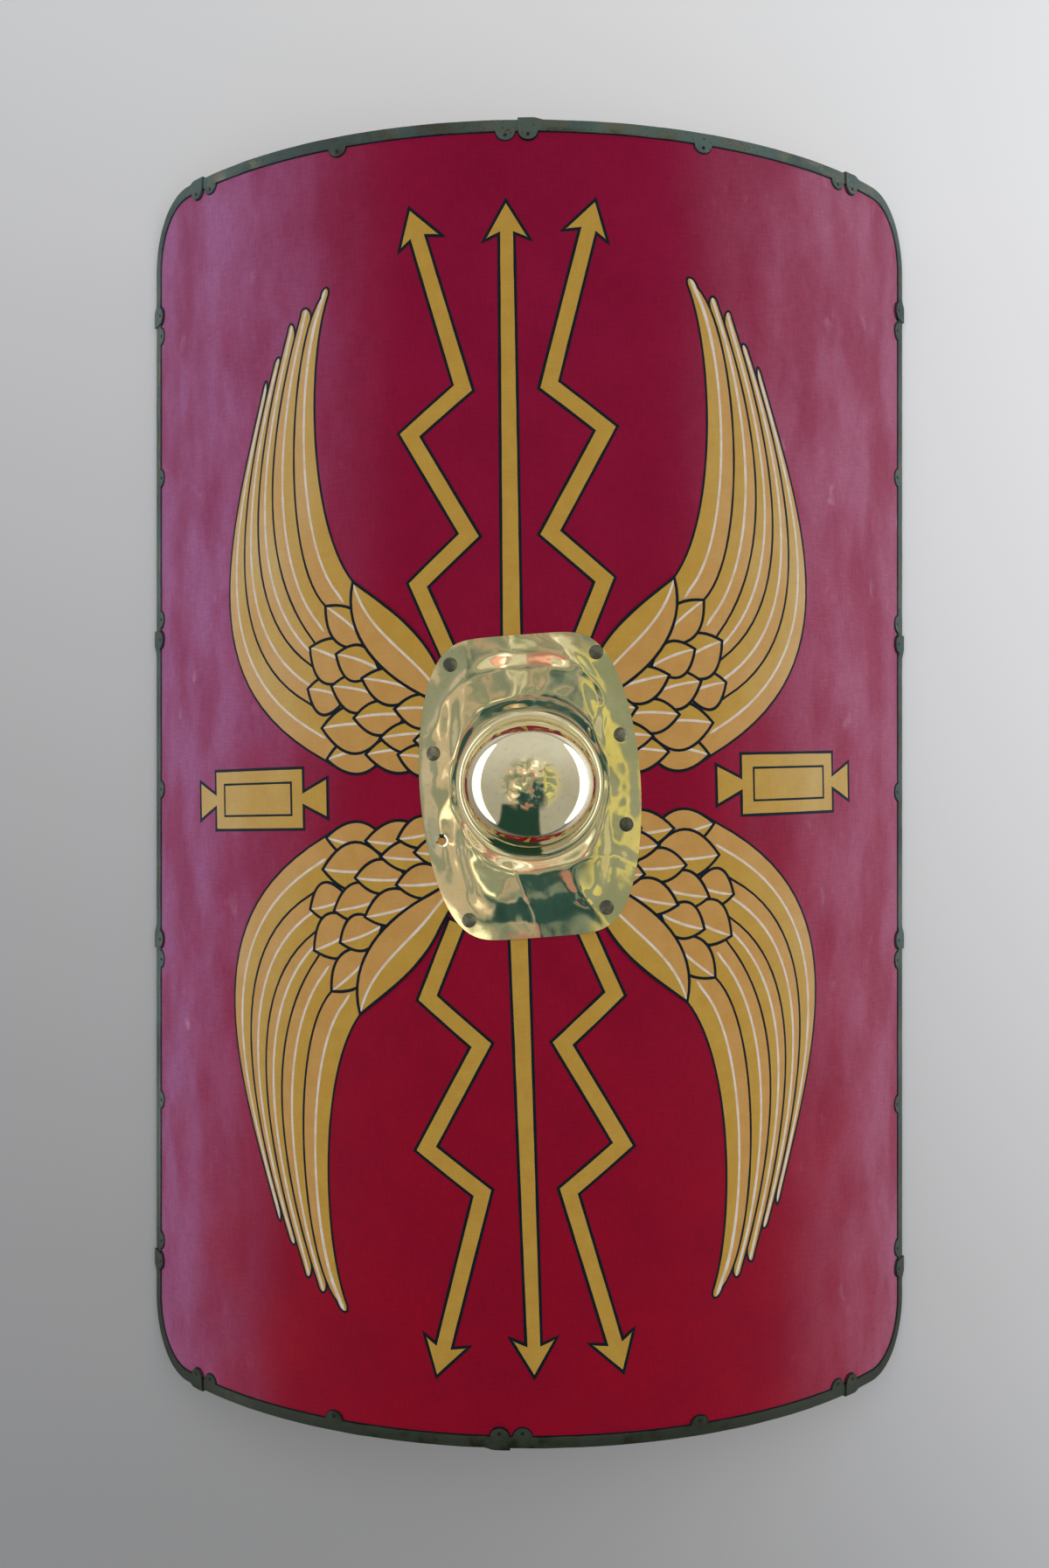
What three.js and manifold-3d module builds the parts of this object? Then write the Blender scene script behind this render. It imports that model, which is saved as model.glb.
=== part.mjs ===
// A curved legionary shield (scutum): a bent plywood board with a bronze edge binding, a brass boss
// plate over a hand opening, and a wooden grip bar behind it.
// It lies face up on its two long edges. +X runs across it, +Y to its upper end, +Z out of its face.
// Millimetres. The origin is under the middle of the shield, on the surface it lies on.
//
// Most shapes are drawn on the flat developed face and then bent: s is the distance round the face
// from its middle line, y the distance along it, and n the height above the painted face.

import * as THREE from 'three';
import { mergeVertices } from 'three/addons/utils/BufferGeometryUtils.js';
import Module from 'manifold-3d';

// ---------------------------------------------------------------- driving dimensions

const HEIGHT = 1060; // along +Y, over the binding
const GIRTH = 800; // round the face, over the binding
const FACE_RADIUS = 420; // of the painted face
const CORNER_RADIUS = 62; // of the outline, measured on the developed face
const BOARD_THICKNESS = 7;
const FIT_GAP = 0.3; // between pieces that touch
const BOARD_FACETS = 44; // round the face
const FACET = 20; // longest flat of the bent binding
const CORNER_FACETS = 10;
const WELD = 0.001; // corners closer than this are one

// bronze edge binding: a folded channel in lengths that lap over each other
const SHEET = 1; // thickness of its metal
const RIM_LEG = 8; // how far a leg reaches in from the edge of the board
const LAP_LENGTH = 12; // end of a length that is opened out to go over its neighbour
const LAP_STEP = 10; // length of the slope up to that end
const TUCK = 6; // how far the lower length runs under it
const TAB_HALF_WIDTH = 7.8; // half-round nailing tabs on both legs
const TAB_REACH = 7;
const TAB_FROM_LAP = 8.3; // from a joint to the tab of the length on top
const TAB_FROM_TUCK = 10; // and to the tab of the length under it
const TAB_FACETS = 4;
const STATION_GAP = 1.5; // stations closer than this are left out

// joints of the binding: s along the short edges, y along the long edges
const TOP_JOINTS = { left: -313, middle: -10, right: 297 };
const BOTTOM_JOINTS = { left: -313, middle: -16, right: 297 };
const RIGHT_JOINTS = { top: 424, upper: 136, lower: -151, bottom: -434 };
const LEFT_JOINTS = { top: 419, upper: 140, lower: -150, bottom: -427 };

// brass boss: a barrel-shaped plate raised into a round bowl
const BOSS_SHEET = 1.2;
const PLATE_HALF_WIDTH = 87.5;
const PLATE_HALF_HEIGHT = 122.5;
const PLATE_SQUARENESS = 6.5; // exponent of the superellipse that the outline starts from
const PLATE_BARREL = 0.26; // share of its half width that the plate has lost at its ends
const BOSS_TURN = 4.3; // degrees, anticlockwise seen from the front
const DOME_RADIUS = 50;
const DOME_TOP = 62; // height of the crown above the face
const DOME_SPRING = 24; // height where the dome turns into the flare
const FLARE_RADIUS = 58; // where the flare meets the plate
const BOSS_SEGMENTS = 36;
const DOME_RINGS = 6;
const FLARE_RINGS = 3;
const PLATE_RINGS = 2;

// rivet places on the plate before it is turned
const RIVETS = {
  rivet_upper_left: [-56, 100],
  rivet_upper_right: [60, 101],
  rivet_left: [-75, 30],
  rivet_right: [75, 34],
  rivet_lower_right: [74, -38],
  rivet_foot_left: [-56, -105],
  rivet_foot_right: [53, -103],
};
const LOST_RIVET = [-74, -40]; // its hole is empty
const HEAD_RADIUS = 5.5;
const HEAD_HEIGHT = 3.4;
const SHANK_RADIUS = 2.2;
const HOLE_RADIUS = 2.7;
const BURR_RADIUS = 4.2; // clenched end behind the board
const BURR_HEIGHT = 1.6;
const RIVET_SEGMENTS = 10;
const HEAD_RINGS = 2;
const HOLE_SEGMENTS = 8;

// hand opening, and the grip bar that spans the hollow of the back behind it
const OPENING_RADIUS = 54;
const GRIP_LENGTH = 280;
const GRIP_END_WIDTH = 38;
const GRIP_HAND_WIDTH = 28;
const GRIP_THICKNESS = 24;
const GRIP_DROP = 8; // from the back of the board to the front of the bar, at the middle
const GRIP_HAND_LENGTH = 104;
const GRIP_SHOULDER = 24; // length over which the bar widens to its ends
const GRIP_ROUNDING = 5;

// ---------------------------------------------------------------- derived dimensions

const BACK = -BOARD_THICKNESS; // n of the board's back
const LIFT = SHEET + FIT_GAP; // how much a lap stands over the length under it
const HALF_GIRTH = GIRTH / 2 - SHEET - FIT_GAP; // of the bare board
const HALF_HEIGHT = HEIGHT / 2 - SHEET - FIT_GAP;
const CORNER = CORNER_RADIUS - SHEET - FIT_GAP;
const STRAIGHT_TOP = HALF_GIRTH - CORNER; // half the straight run of a short edge
const STRAIGHT_SIDE = HALF_HEIGHT - CORNER; // half the straight run of a long edge
const CORNER_ARC = (CORNER * Math.PI) / 2;
const PERIMETER = 4 * (STRAIGHT_TOP + STRAIGHT_SIDE + CORNER_ARC);

// the shield lies on the outer back edges of the laps on its long sides
const LOWEST_N = BACK - FIT_GAP - SHEET - LIFT;
const LOWEST_S = HALF_GIRTH + FIT_GAP + SHEET + LIFT;
const AXIS_Z = -(FACE_RADIUS + LOWEST_N) * Math.cos(LOWEST_S / FACE_RADIUS);

// ---------------------------------------------------------------- materials

const material = (color, roughness, metalness) =>
  new THREE.MeshStandardMaterial({ color, roughness, metalness });

const paintedLinen = material(0x86102f, 0.6, 0);
const agedBronze = material(0x5c6f68, 0.55, 0.8);
const polishedBrass = material(0xc9bd8a, 0.18, 1);
const darkBronze = material(0x55554c, 0.5, 0.9);
const ashWood = material(0xa27a4c, 0.65, 0);

// ---------------------------------------------------------------- shaping helpers

const wasm = await Module();
wasm.setup();

function reshape(geometry, place) {
  const points = geometry.attributes.position;
  const point = new THREE.Vector3();
  for (let i = 0; i < points.count; i += 1) {
    point.fromBufferAttribute(points, i);
    place(point);
    points.setXYZ(i, point.x, point.y, point.z);
  }
  return geometry;
}

// from the developed face (s, y, n) to the bent shield
const bend = (geometry) =>
  reshape(geometry, (p) => {
    const angle = p.x / FACE_RADIUS;
    const radius = FACE_RADIUS + p.z;
    p.set(radius * Math.sin(angle), p.y, radius * Math.cos(angle) + AXIS_Z);
  });

// moves a straight piece, whose z is n, to the place (s, y) and square to the face there
const seat = (geometry, s, y) =>
  geometry
    .translate(0, 0, FACE_RADIUS)
    .rotateY(s / FACE_RADIUS)
    .translate(0, y, AXIS_Z);

function toSolid(geometry) {
  geometry.deleteAttribute('normal');
  geometry.deleteAttribute('uv');
  const joined = mergeVertices(geometry, WELD);
  const vertProperties = new Float32Array(joined.attributes.position.array);
  const triVerts = new Uint32Array(joined.index.array);
  return new wasm.Manifold(new wasm.Mesh({ numProp: 3, vertProperties, triVerts }));
}

function toGeometry(solid) {
  const mesh = solid.getMesh();
  const geometry = new THREE.BufferGeometry();
  geometry.setAttribute('position', new THREE.BufferAttribute(mesh.vertProperties, 3));
  geometry.setIndex(new THREE.BufferAttribute(mesh.triVerts, 1));
  return geometry;
}

const cutAll = (blank, cutters) => cutters.reduce((rest, cutter) => rest.subtract(cutter), blank);

const shield = new THREE.Group();

function addPiece(name, solid, finish) {
  const mesh = new THREE.Mesh(toGeometry(solid), finish);
  mesh.name = name;
  shield.add(mesh);
}

// ---------------------------------------------------------------- edge of the board

// the edge of the developed board, clockwise from the middle of the top
const CORNER_STRETCH = { length: CORNER_ARC, turns: true, facets: CORNER_FACETS };
const SIDE_STRETCH = { length: 2 * STRAIGHT_SIDE, turns: false, facets: 1 };
const bentStretch = (length) => ({ length, turns: false, facets: Math.ceil(length / FACET) });
const STRETCHES = [
  bentStretch(STRAIGHT_TOP),
  CORNER_STRETCH,
  SIDE_STRETCH,
  CORNER_STRETCH,
  bentStretch(2 * STRAIGHT_TOP),
  CORNER_STRETCH,
  SIDE_STRETCH,
  CORNER_STRETCH,
  bentStretch(STRAIGHT_TOP),
];

// distances of the corners of the facets all round the edge
const facetStations = [];
STRETCHES.reduce((start, { length, facets }) => {
  for (let i = 0; i < facets; i += 1) facetStations.push(start + (i * length) / facets);
  return start + length;
}, 0);

// the point of the edge at a distance from the middle of the top, and the outward direction there
function edgeAt(distance) {
  let left = THREE.MathUtils.euclideanModulo(distance, PERIMETER);
  let heading = 0;
  const point = new THREE.Vector2(0, HALF_HEIGHT);
  const outward = new THREE.Vector2(0, 1);
  for (const { length, turns } of STRETCHES) {
    const run = Math.min(left, length);
    if (turns) {
      point.addScaledVector(outward, -CORNER);
      heading += run / CORNER;
      outward.set(Math.sin(heading), Math.cos(heading));
      point.addScaledVector(outward, CORNER);
    } else {
      point.x += run * outward.y;
      point.y -= run * outward.x;
    }
    left -= run;
  }
  return { point, outward };
}

// distances along the edge of a place on each of the four sides
const topAt = (s) => s;
const rightAt = (y) => STRAIGHT_TOP + CORNER_ARC + STRAIGHT_SIDE - y;
const bottomAt = (s) => rightAt(-STRAIGHT_SIDE) + CORNER_ARC + STRAIGHT_TOP - s;
const leftAt = (y) => PERIMETER - rightAt(y);

// lays a geometry along the edge: its x is the distance, its y is outward and its z is n
const layOnEdge = (geometry) =>
  reshape(geometry, (p) => {
    const { point, outward } = edgeAt(p.x);
    p.set(point.x + outward.x * p.y, point.y + outward.y * p.y, p.z);
  });

// ---------------------------------------------------------------- board

// what a corner loses: the stock outside its arc, cut square to the face
function cornerOffcut(signS, signY) {
  const spare = 5;
  const quarter = new THREE.Path();
  quarter.absarc(STRAIGHT_TOP, STRAIGHT_SIDE, CORNER, 0, Math.PI / 2, false);
  const outline = [
    new THREE.Vector2(STRAIGHT_TOP, HALF_HEIGHT + spare),
    new THREE.Vector2(HALF_GIRTH + spare, HALF_HEIGHT + spare),
    new THREE.Vector2(HALF_GIRTH + spare, STRAIGHT_SIDE),
    ...quarter.getPoints(CORNER_FACETS),
  ];
  const shape = new THREE.Shape(outline.map((p) => p.multiply(new THREE.Vector2(signS, signY))));
  const depth = BOARD_THICKNESS + 2 * spare;
  const offcut = new THREE.ExtrudeGeometry(shape, { depth, bevelEnabled: false });
  return toSolid(bend(offcut.translate(0, 0, BACK - spare)));
}

// a round cutter square to the face
const CUTTER_LENGTH = 60;
const drill = (radius, segments, s, y) => {
  const cutter = new THREE.CylinderGeometry(radius, radius, CUTTER_LENGTH, segments);
  return toSolid(seat(cutter.rotateX(Math.PI / 2), s, y));
};

// a place on the boss plate, turned with the plate
function onBoss([x, y]) {
  const turn = THREE.MathUtils.degToRad(BOSS_TURN);
  const place = new THREE.Vector2(x, y).rotateAround(new THREE.Vector2(), turn);
  return [place.x, place.y];
}

const rivetHoles = [...Object.values(RIVETS), LOST_RIVET].map((place) =>
  drill(HOLE_RADIUS, HOLE_SEGMENTS, ...onBoss(place)),
);

function makeBoard() {
  const size = [2 * HALF_GIRTH, 2 * HALF_HEIGHT, BOARD_THICKNESS];
  const sheet = new THREE.BoxGeometry(...size, BOARD_FACETS, 1, 1);
  const blank = toSolid(bend(sheet.translate(0, 0, BACK / 2)));
  const offcuts = [-1, 1].flatMap((s) => [-1, 1].map((y) => cornerOffcut(s, y)));
  const opening = drill(OPENING_RADIUS, 32, 0, 0);
  return cutAll(blank, [...offcuts, opening, ...rivetHoles]);
}

addPiece('board', makeBoard(), paintedLinen);

// ---------------------------------------------------------------- edge binding

// section of the folded channel: x is outward from the edge of the board and y is n
const CHANNEL = new THREE.Shape([
  new THREE.Vector2(-RIM_LEG, FIT_GAP),
  new THREE.Vector2(FIT_GAP, FIT_GAP),
  new THREE.Vector2(FIT_GAP, BACK - FIT_GAP),
  new THREE.Vector2(-RIM_LEG, BACK - FIT_GAP),
  new THREE.Vector2(-RIM_LEG, BACK - FIT_GAP - SHEET),
  new THREE.Vector2(FIT_GAP + SHEET, BACK - FIT_GAP - SHEET),
  new THREE.Vector2(FIT_GAP + SHEET, FIT_GAP + SHEET),
  new THREE.Vector2(-RIM_LEG, FIT_GAP + SHEET),
]);

// how far a half-round tab stands out of its leg at a distance from its middle
const tabReach = (offset) => TAB_REACH * Math.sqrt(Math.max(0, 1 - (offset / TAB_HALF_WIDTH) ** 2));

// distances where the section of a length changes: its tabs, its lap steps and the facets of the edge
function stationsOf(from, to, tabs, steps) {
  const stations = [from, to, ...steps];
  for (const middle of tabs) {
    for (let i = 0; i <= TAB_FACETS; i += 1) {
      stations.push(middle - TAB_HALF_WIDTH * Math.cos((i / TAB_FACETS) * Math.PI));
    }
  }
  const clearOf = (distance) => stations.every((other) => Math.abs(other - distance) > STATION_GAP);
  const turn = from < 0 ? -PERIMETER : 0;
  const passed = [...facetStations, ...facetStations.map((distance) => distance + turn)].filter(
    (distance) => distance > from && distance < to && clearOf(distance),
  );
  return [...new Set([...stations, ...passed])].sort((a, b) => a - b);
}

// one length of binding between two joints; an end either laps over its neighbour or tucks under it
function bindingLength(jointFrom, jointTo, { overStart, overEnd, middleTab }) {
  const from = overStart ? jointFrom : jointFrom - TUCK;
  const to = overEnd ? jointTo : jointTo + TUCK;
  const fromJoint = (isOver) => (isOver ? TAB_FROM_LAP : TAB_FROM_TUCK);
  const tabs = [jointFrom + fromJoint(overStart), jointTo - fromJoint(overEnd)];
  if (middleTab) tabs.push((jointFrom + jointTo) / 2);
  const startStep = jointFrom + LAP_LENGTH;
  const endStep = jointTo - LAP_LENGTH;
  const steps = [];
  if (overStart) steps.push(startStep, startStep + LAP_STEP);
  if (overEnd) steps.push(endStep - LAP_STEP, endStep);
  const stations = stationsOf(from, to, tabs, steps);

  const liftAt = (distance) => {
    const nearStart = overStart ? 1 - (distance - startStep) / LAP_STEP : 0;
    const nearEnd = overEnd ? 1 - (endStep - distance) / LAP_STEP : 0;
    return LIFT * THREE.MathUtils.clamp(Math.max(nearStart, nearEnd), 0, 1);
  };
  const settings = { depth: stations.length - 1, steps: stations.length - 1, bevelEnabled: false };
  const strip = new THREE.ExtrudeGeometry(CHANNEL, settings);
  reshape(strip, (p) => {
    const distance = stations[Math.round(p.z)];
    const lift = liftAt(distance);
    const reach = Math.max(...tabs.map((middle) => tabReach(distance - middle)));
    const outward = p.x > 0 ? p.x + lift : p.x - reach;
    p.set(distance, outward, p.y > BACK / 2 ? p.y + lift : p.y - lift);
  });
  return toSolid(bend(layOnEdge(strip)));
}

const over = { overStart: true, overEnd: true, middleTab: true };
const under = { overStart: false, overEnd: false, middleTab: true };
const overAtStart = { ...under, overStart: true };
const cornerCap = { ...over, middleTab: false };

// clockwise from the upper left corner
const BINDING = [
  ['rim_corner_upper_left', leftAt(LEFT_JOINTS.top) - PERIMETER, topAt(TOP_JOINTS.left), cornerCap],
  ['rim_top_left', topAt(TOP_JOINTS.left), topAt(TOP_JOINTS.middle), under],
  ['rim_top_right', topAt(TOP_JOINTS.middle), topAt(TOP_JOINTS.right), overAtStart],
  ['rim_corner_upper_right', topAt(TOP_JOINTS.right), rightAt(RIGHT_JOINTS.top), cornerCap],
  ['rim_right_upper', rightAt(RIGHT_JOINTS.top), rightAt(RIGHT_JOINTS.upper), under],
  ['rim_right_middle', rightAt(RIGHT_JOINTS.upper), rightAt(RIGHT_JOINTS.lower), over],
  ['rim_right_lower', rightAt(RIGHT_JOINTS.lower), rightAt(RIGHT_JOINTS.bottom), under],
  ['rim_corner_lower_right', rightAt(RIGHT_JOINTS.bottom), bottomAt(BOTTOM_JOINTS.right), cornerCap],
  ['rim_bottom_right', bottomAt(BOTTOM_JOINTS.right), bottomAt(BOTTOM_JOINTS.middle), under],
  ['rim_bottom_left', bottomAt(BOTTOM_JOINTS.middle), bottomAt(BOTTOM_JOINTS.left), overAtStart],
  ['rim_corner_lower_left', bottomAt(BOTTOM_JOINTS.left), leftAt(LEFT_JOINTS.bottom), cornerCap],
  ['rim_left_lower', leftAt(LEFT_JOINTS.bottom), leftAt(LEFT_JOINTS.lower), under],
  ['rim_left_middle', leftAt(LEFT_JOINTS.lower), leftAt(LEFT_JOINTS.upper), over],
  ['rim_left_upper', leftAt(LEFT_JOINTS.upper), leftAt(LEFT_JOINTS.top), under],
];

for (const [name, from, to, ends] of BINDING) {
  addPiece(name, bindingLength(from, to, ends), agedBronze);
}

// ---------------------------------------------------------------- boss

// half the section of one face of the boss, from the crown outwards; a radius over FLARE_RADIUS
// counts plate rings, which are stretched to the barrel outline afterwards
function bossFace(radiusInset, offset) {
  const points = [];
  const radius = DOME_RADIUS - radiusInset;
  const rise = DOME_TOP - DOME_SPRING;
  for (let i = 0; i <= DOME_RINGS; i += 1) {
    const angle = (i / DOME_RINGS) * (Math.PI / 2);
    const height = DOME_SPRING + (rise + offset) * Math.cos(angle);
    points.push(new THREE.Vector2(radius * Math.sin(angle), height));
  }
  const plateTop = FIT_GAP + BOSS_SHEET + offset;
  for (let i = 1; i <= FLARE_RINGS; i += 1) {
    const angle = (i / FLARE_RINGS) * (Math.PI / 2);
    const out = radius + (FLARE_RADIUS - radius) * (1 - Math.cos(angle));
    points.push(new THREE.Vector2(out, DOME_SPRING - (DOME_SPRING - plateTop) * Math.sin(angle)));
  }
  for (let i = 1; i <= PLATE_RINGS; i += 1) {
    points.push(new THREE.Vector2(FLARE_RADIUS + i, plateTop));
  }
  return points;
}

// point of the barrel outline: a superellipse that is drawn in towards its ends
function plateEdge(direction) {
  const across = Math.abs(Math.cos(direction) / PLATE_HALF_WIDTH) ** PLATE_SQUARENESS;
  const along = Math.abs(Math.sin(direction) / PLATE_HALF_HEIGHT) ** PLATE_SQUARENESS;
  const reach = (across + along) ** (-1 / PLATE_SQUARENESS);
  const y = reach * Math.sin(direction);
  const drawnIn = 1 - PLATE_BARREL * (y / PLATE_HALF_HEIGHT) ** 2;
  return new THREE.Vector3(reach * Math.cos(direction) * drawnIn, y, 0);
}

function makeBoss() {
  const front = bossFace(0, 0);
  const back = bossFace(BOSS_SHEET, -BOSS_SHEET);
  const profile = [...back, ...front.reverse()];
  const bowl = new THREE.LatheGeometry(profile, BOSS_SEGMENTS).rotateX(Math.PI / 2);
  reshape(bowl, (p) => {
    const radius = Math.hypot(p.x, p.y);
    if (radius <= FLARE_RADIUS) return;
    const share = (radius - FLARE_RADIUS) / PLATE_RINGS;
    const edge = plateEdge(Math.atan2(p.y, p.x)).setZ(p.z);
    p.multiply(new THREE.Vector3(FLARE_RADIUS / radius, FLARE_RADIUS / radius, 1)).lerp(edge, share);
  });
  bowl.rotateZ(THREE.MathUtils.degToRad(BOSS_TURN));
  return cutAll(toSolid(bend(bowl)), rivetHoles);
}

addPiece('boss', makeBoss(), polishedBrass);

// ---------------------------------------------------------------- boss rivets

// a quarter of an ellipse from the edge of a domed end to its pole
function domedEnd(radius, base, height) {
  const points = [];
  for (let i = 0; i <= HEAD_RINGS; i += 1) {
    const angle = (i / HEAD_RINGS) * (Math.PI / 2);
    points.push([radius * Math.cos(angle), base + height * Math.sin(angle)]);
  }
  return points;
}

function makeRivet([s, y]) {
  const under = FIT_GAP + BOSS_SHEET + FIT_GAP; // n of the underside of the head
  const behind = BACK - FIT_GAP;
  const profile = [
    ...domedEnd(BURR_RADIUS, behind, -BURR_HEIGHT).reverse(),
    [SHANK_RADIUS, behind],
    [SHANK_RADIUS, under],
    ...domedEnd(HEAD_RADIUS, under, HEAD_HEIGHT),
  ].map(([radius, n]) => new THREE.Vector2(radius, n));
  const rivet = new THREE.LatheGeometry(profile, RIVET_SEGMENTS).rotateX(Math.PI / 2);
  return toSolid(seat(rivet, s, y));
}

for (const [name, place] of Object.entries(RIVETS)) {
  addPiece(name, makeRivet(onBoss(place)), darkBronze);
}

// ---------------------------------------------------------------- grip bar

// plan of the bar inside its rounded edges: a narrow hand stretch that widens to flat ends
function gripPlan() {
  const halfLength = GRIP_LENGTH / 2 - GRIP_ROUNDING;
  const hand = GRIP_HAND_WIDTH / 2 - GRIP_ROUNDING;
  const end = GRIP_END_WIDTH / 2 - GRIP_ROUNDING;
  const inner = GRIP_HAND_LENGTH / 2;
  const outer = inner + GRIP_SHOULDER;
  const shape = new THREE.Shape();
  const bezier = (x1, y1, x2, y2) => {
    const middle = (x1 + x2) / 2;
    shape.bezierCurveTo(middle, y1, middle, y2, x2, y2);
  };
  shape.moveTo(-halfLength, -end);
  shape.lineTo(-outer, -end);
  bezier(-outer, -end, -inner, -hand);
  shape.lineTo(inner, -hand);
  bezier(inner, -hand, outer, -end);
  shape.lineTo(halfLength, -end);
  shape.lineTo(halfLength, end);
  shape.lineTo(outer, end);
  bezier(outer, end, inner, hand);
  shape.lineTo(-inner, hand);
  bezier(-inner, hand, -outer, end);
  shape.lineTo(-halfLength, end);
  return shape;
}

// the space inside the bent board, which the ends of the bar are scribed to
function makeHollow() {
  const radius = FACE_RADIUS + BACK - FIT_GAP;
  const hollow = new THREE.CylinderGeometry(radius, radius, 4 * GRIP_END_WIDTH, 128);
  return toSolid(hollow.translate(0, 0, AXIS_Z));
}

function makeGrip() {
  const bar = new THREE.ExtrudeGeometry(gripPlan(), {
    depth: GRIP_THICKNESS - 2 * GRIP_ROUNDING,
    bevelThickness: GRIP_ROUNDING,
    bevelSize: GRIP_ROUNDING,
    bevelSegments: 3,
    curveSegments: 5,
  });
  const crown = FACE_RADIUS + BACK + AXIS_Z; // z of the back of the board at its middle line
  bar.translate(0, 0, crown - GRIP_DROP - GRIP_THICKNESS + GRIP_ROUNDING);
  return toSolid(bar).intersect(makeHollow());
}

addPiece('grip_bar', makeGrip(), ashWood);

export default shield;
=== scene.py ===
# %% [markdown]
# # A legionary's curved shield
# This kind of shield is a tall rectangle of plywood, bent round a drum while its glue sets. Linen is glued
# on and painted. A folded bronze strip protects the edge, and a brass boss covers the hand opening. A bar
# across the hollow of the back is the grip.
#
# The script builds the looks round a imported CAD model. It loads that model first, as a frame that never
# moves, and takes its own places and sizes from it.

import math

import bmesh
import bpy
from mathutils import Matrix, Vector, noise
from mathutils.geometry import interpolate_bezier


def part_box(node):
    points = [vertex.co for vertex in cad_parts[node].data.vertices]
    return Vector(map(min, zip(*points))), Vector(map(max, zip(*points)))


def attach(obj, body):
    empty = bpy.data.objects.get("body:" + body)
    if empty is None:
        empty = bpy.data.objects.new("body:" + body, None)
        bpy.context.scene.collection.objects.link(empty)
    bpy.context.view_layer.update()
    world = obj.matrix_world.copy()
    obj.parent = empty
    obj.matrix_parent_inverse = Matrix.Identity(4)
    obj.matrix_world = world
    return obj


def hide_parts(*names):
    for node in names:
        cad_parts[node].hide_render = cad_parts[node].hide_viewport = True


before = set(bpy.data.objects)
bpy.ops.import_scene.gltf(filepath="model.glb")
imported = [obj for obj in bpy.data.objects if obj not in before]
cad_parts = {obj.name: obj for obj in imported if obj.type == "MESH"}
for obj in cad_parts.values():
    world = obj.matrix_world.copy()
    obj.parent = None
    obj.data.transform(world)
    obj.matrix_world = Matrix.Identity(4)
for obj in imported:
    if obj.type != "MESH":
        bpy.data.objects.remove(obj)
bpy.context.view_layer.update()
MM = 0.001

# %% [markdown]
# ## From a flat sheet to the bent shield
# Everything on a bent sheet is easier to draw while the sheet is flat. So each piece starts flat, with
# x as the distance s round the face from its middle line, y along the shield, and z as the height n above
# the painted face. One function then wraps it round the axis of the bend. It does what the workshop's
# drum does, and no length on the face changes.

# %% The bend
FACE_RADIUS = 420 * MM
BOARD_THICKNESS = 7 * MM
board_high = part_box("board")[1]
FACE_TOP = board_high.z
AXIS_Z = FACE_TOP - FACE_RADIUS
HALF_HEIGHT = board_high.y
HALF_GIRTH = FACE_RADIUS * math.asin(board_high.x / FACE_RADIUS)


def on_shield(flat):
    """The place on the bent shield of a point (s, y, n) of the flat sheet."""
    turn = flat[0] / FACE_RADIUS
    reach = FACE_RADIUS + flat[2]
    return Vector((reach * math.sin(turn), flat[1], AXIS_Z + reach * math.cos(turn)))


def smooth(low, high, value):
    """0 below low, 1 above high, and a smooth change in between."""
    share = min(1.0, max(0.0, (value - low) / (high - low)))
    return share * share * (3 - 2 * share)


def bend(bm):
    """Wraps a flat mesh round the shield."""
    for vertex in bm.verts:
        vertex.co = on_shield(vertex.co)


print("bare board: %.0f mm round the face, %.0f mm high" % (2 * HALF_GIRTH / MM, 2 * HALF_HEIGHT / MM))

# %% [markdown]
# ## From a mesh to a piece
# Each piece goes through the same few steps at the end. Its faces get smooth shading with hard edges where
# it really has a corner, and it gets its materials. It then rides on the body of the frame and stands for
# the plain CAD nodes that it refines.

# %% Finish a piece
SHARP = 38  # degrees between two faces that meet at a real corner
MERGE = 0.002 * MM  # points closer than this are one point


def finish_piece(name, bm, materials, replaces=(), sharp=SHARP):
    """Makes a mesh the object of one piece of the shield."""
    mesh = bpy.data.meshes.new(name)
    bm.to_mesh(mesh)
    bm.free()
    for material in materials:
        mesh.materials.append(material)
    mesh.shade_smooth()
    mesh.set_sharp_from_angle(angle=math.radians(sharp))
    piece = bpy.data.objects.new(name, mesh)
    bpy.context.scene.collection.objects.link(piece)
    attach(piece, "root")
    if replaces:
        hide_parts(*replaces)
    return piece


def close_up(bm):
    """Turns the faces of closed shapes outwards, once their doubles are merged."""
    bmesh.ops.remove_doubles(bm, verts=bm.verts, dist=MERGE)
    bmesh.ops.recalc_face_normals(bm, faces=bm.faces)
    return bm


def size_of(bm):
    """How many faces a mesh has, and how many edges that don't join two faces, to print."""
    return "%d faces, %d open edges" % (len(bm.faces), sum(not e.is_manifold for e in bm.edges))


def spun(bm, section, steps):
    """Spins a half section (radius, n) once round the z axis."""
    row = [bm.verts.new((max(0.0, radius), 0, n)) for radius, n in section]
    edges = [bm.edges.new(pair) for pair in zip(row, row[1:])]
    bmesh.ops.spin(
        bm, geom=[*row, *edges], cent=(0, 0, 0), axis=(0, 0, 1), angle=2 * math.pi, steps=steps,
        use_merge=True,
    )


print("faces that meet at over %d degrees keep a sharp edge" % SHARP)

# %% [markdown]
# ## Small helpers for shader nodes
# A material is a graph of nodes. These helpers keep each material down to the lines that say what it looks
# like: one adds a node with its values and links, one turns a workshop colour into the linear numbers that
# shaders work in, and one starts a node group with named sockets.

# %% Node helpers
def colour(code):
    """A colour from its usual six-digit code, in linear light."""
    shares = [int(code[i:i + 2], 16) / 255 for i in (0, 2, 4)]
    linear = [c / 12.92 if c <= 0.04045 else ((c + 0.055) / 1.055) ** 2.4 for c in shares]
    return (*linear, 1.0)


def add(tree, kind, inputs=None, **settings):
    """Adds a shader node. An input that is another node's socket is linked; other inputs are set."""
    made = tree.nodes.new("ShaderNode" + kind)
    for key, value in settings.items():
        setattr(made, key, value)
    for key, value in (inputs or {}).items():
        if isinstance(value, bpy.types.NodeSocket):
            tree.links.new(value, made.inputs[key])
        else:
            made.inputs[key].default_value = value
    return made


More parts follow.
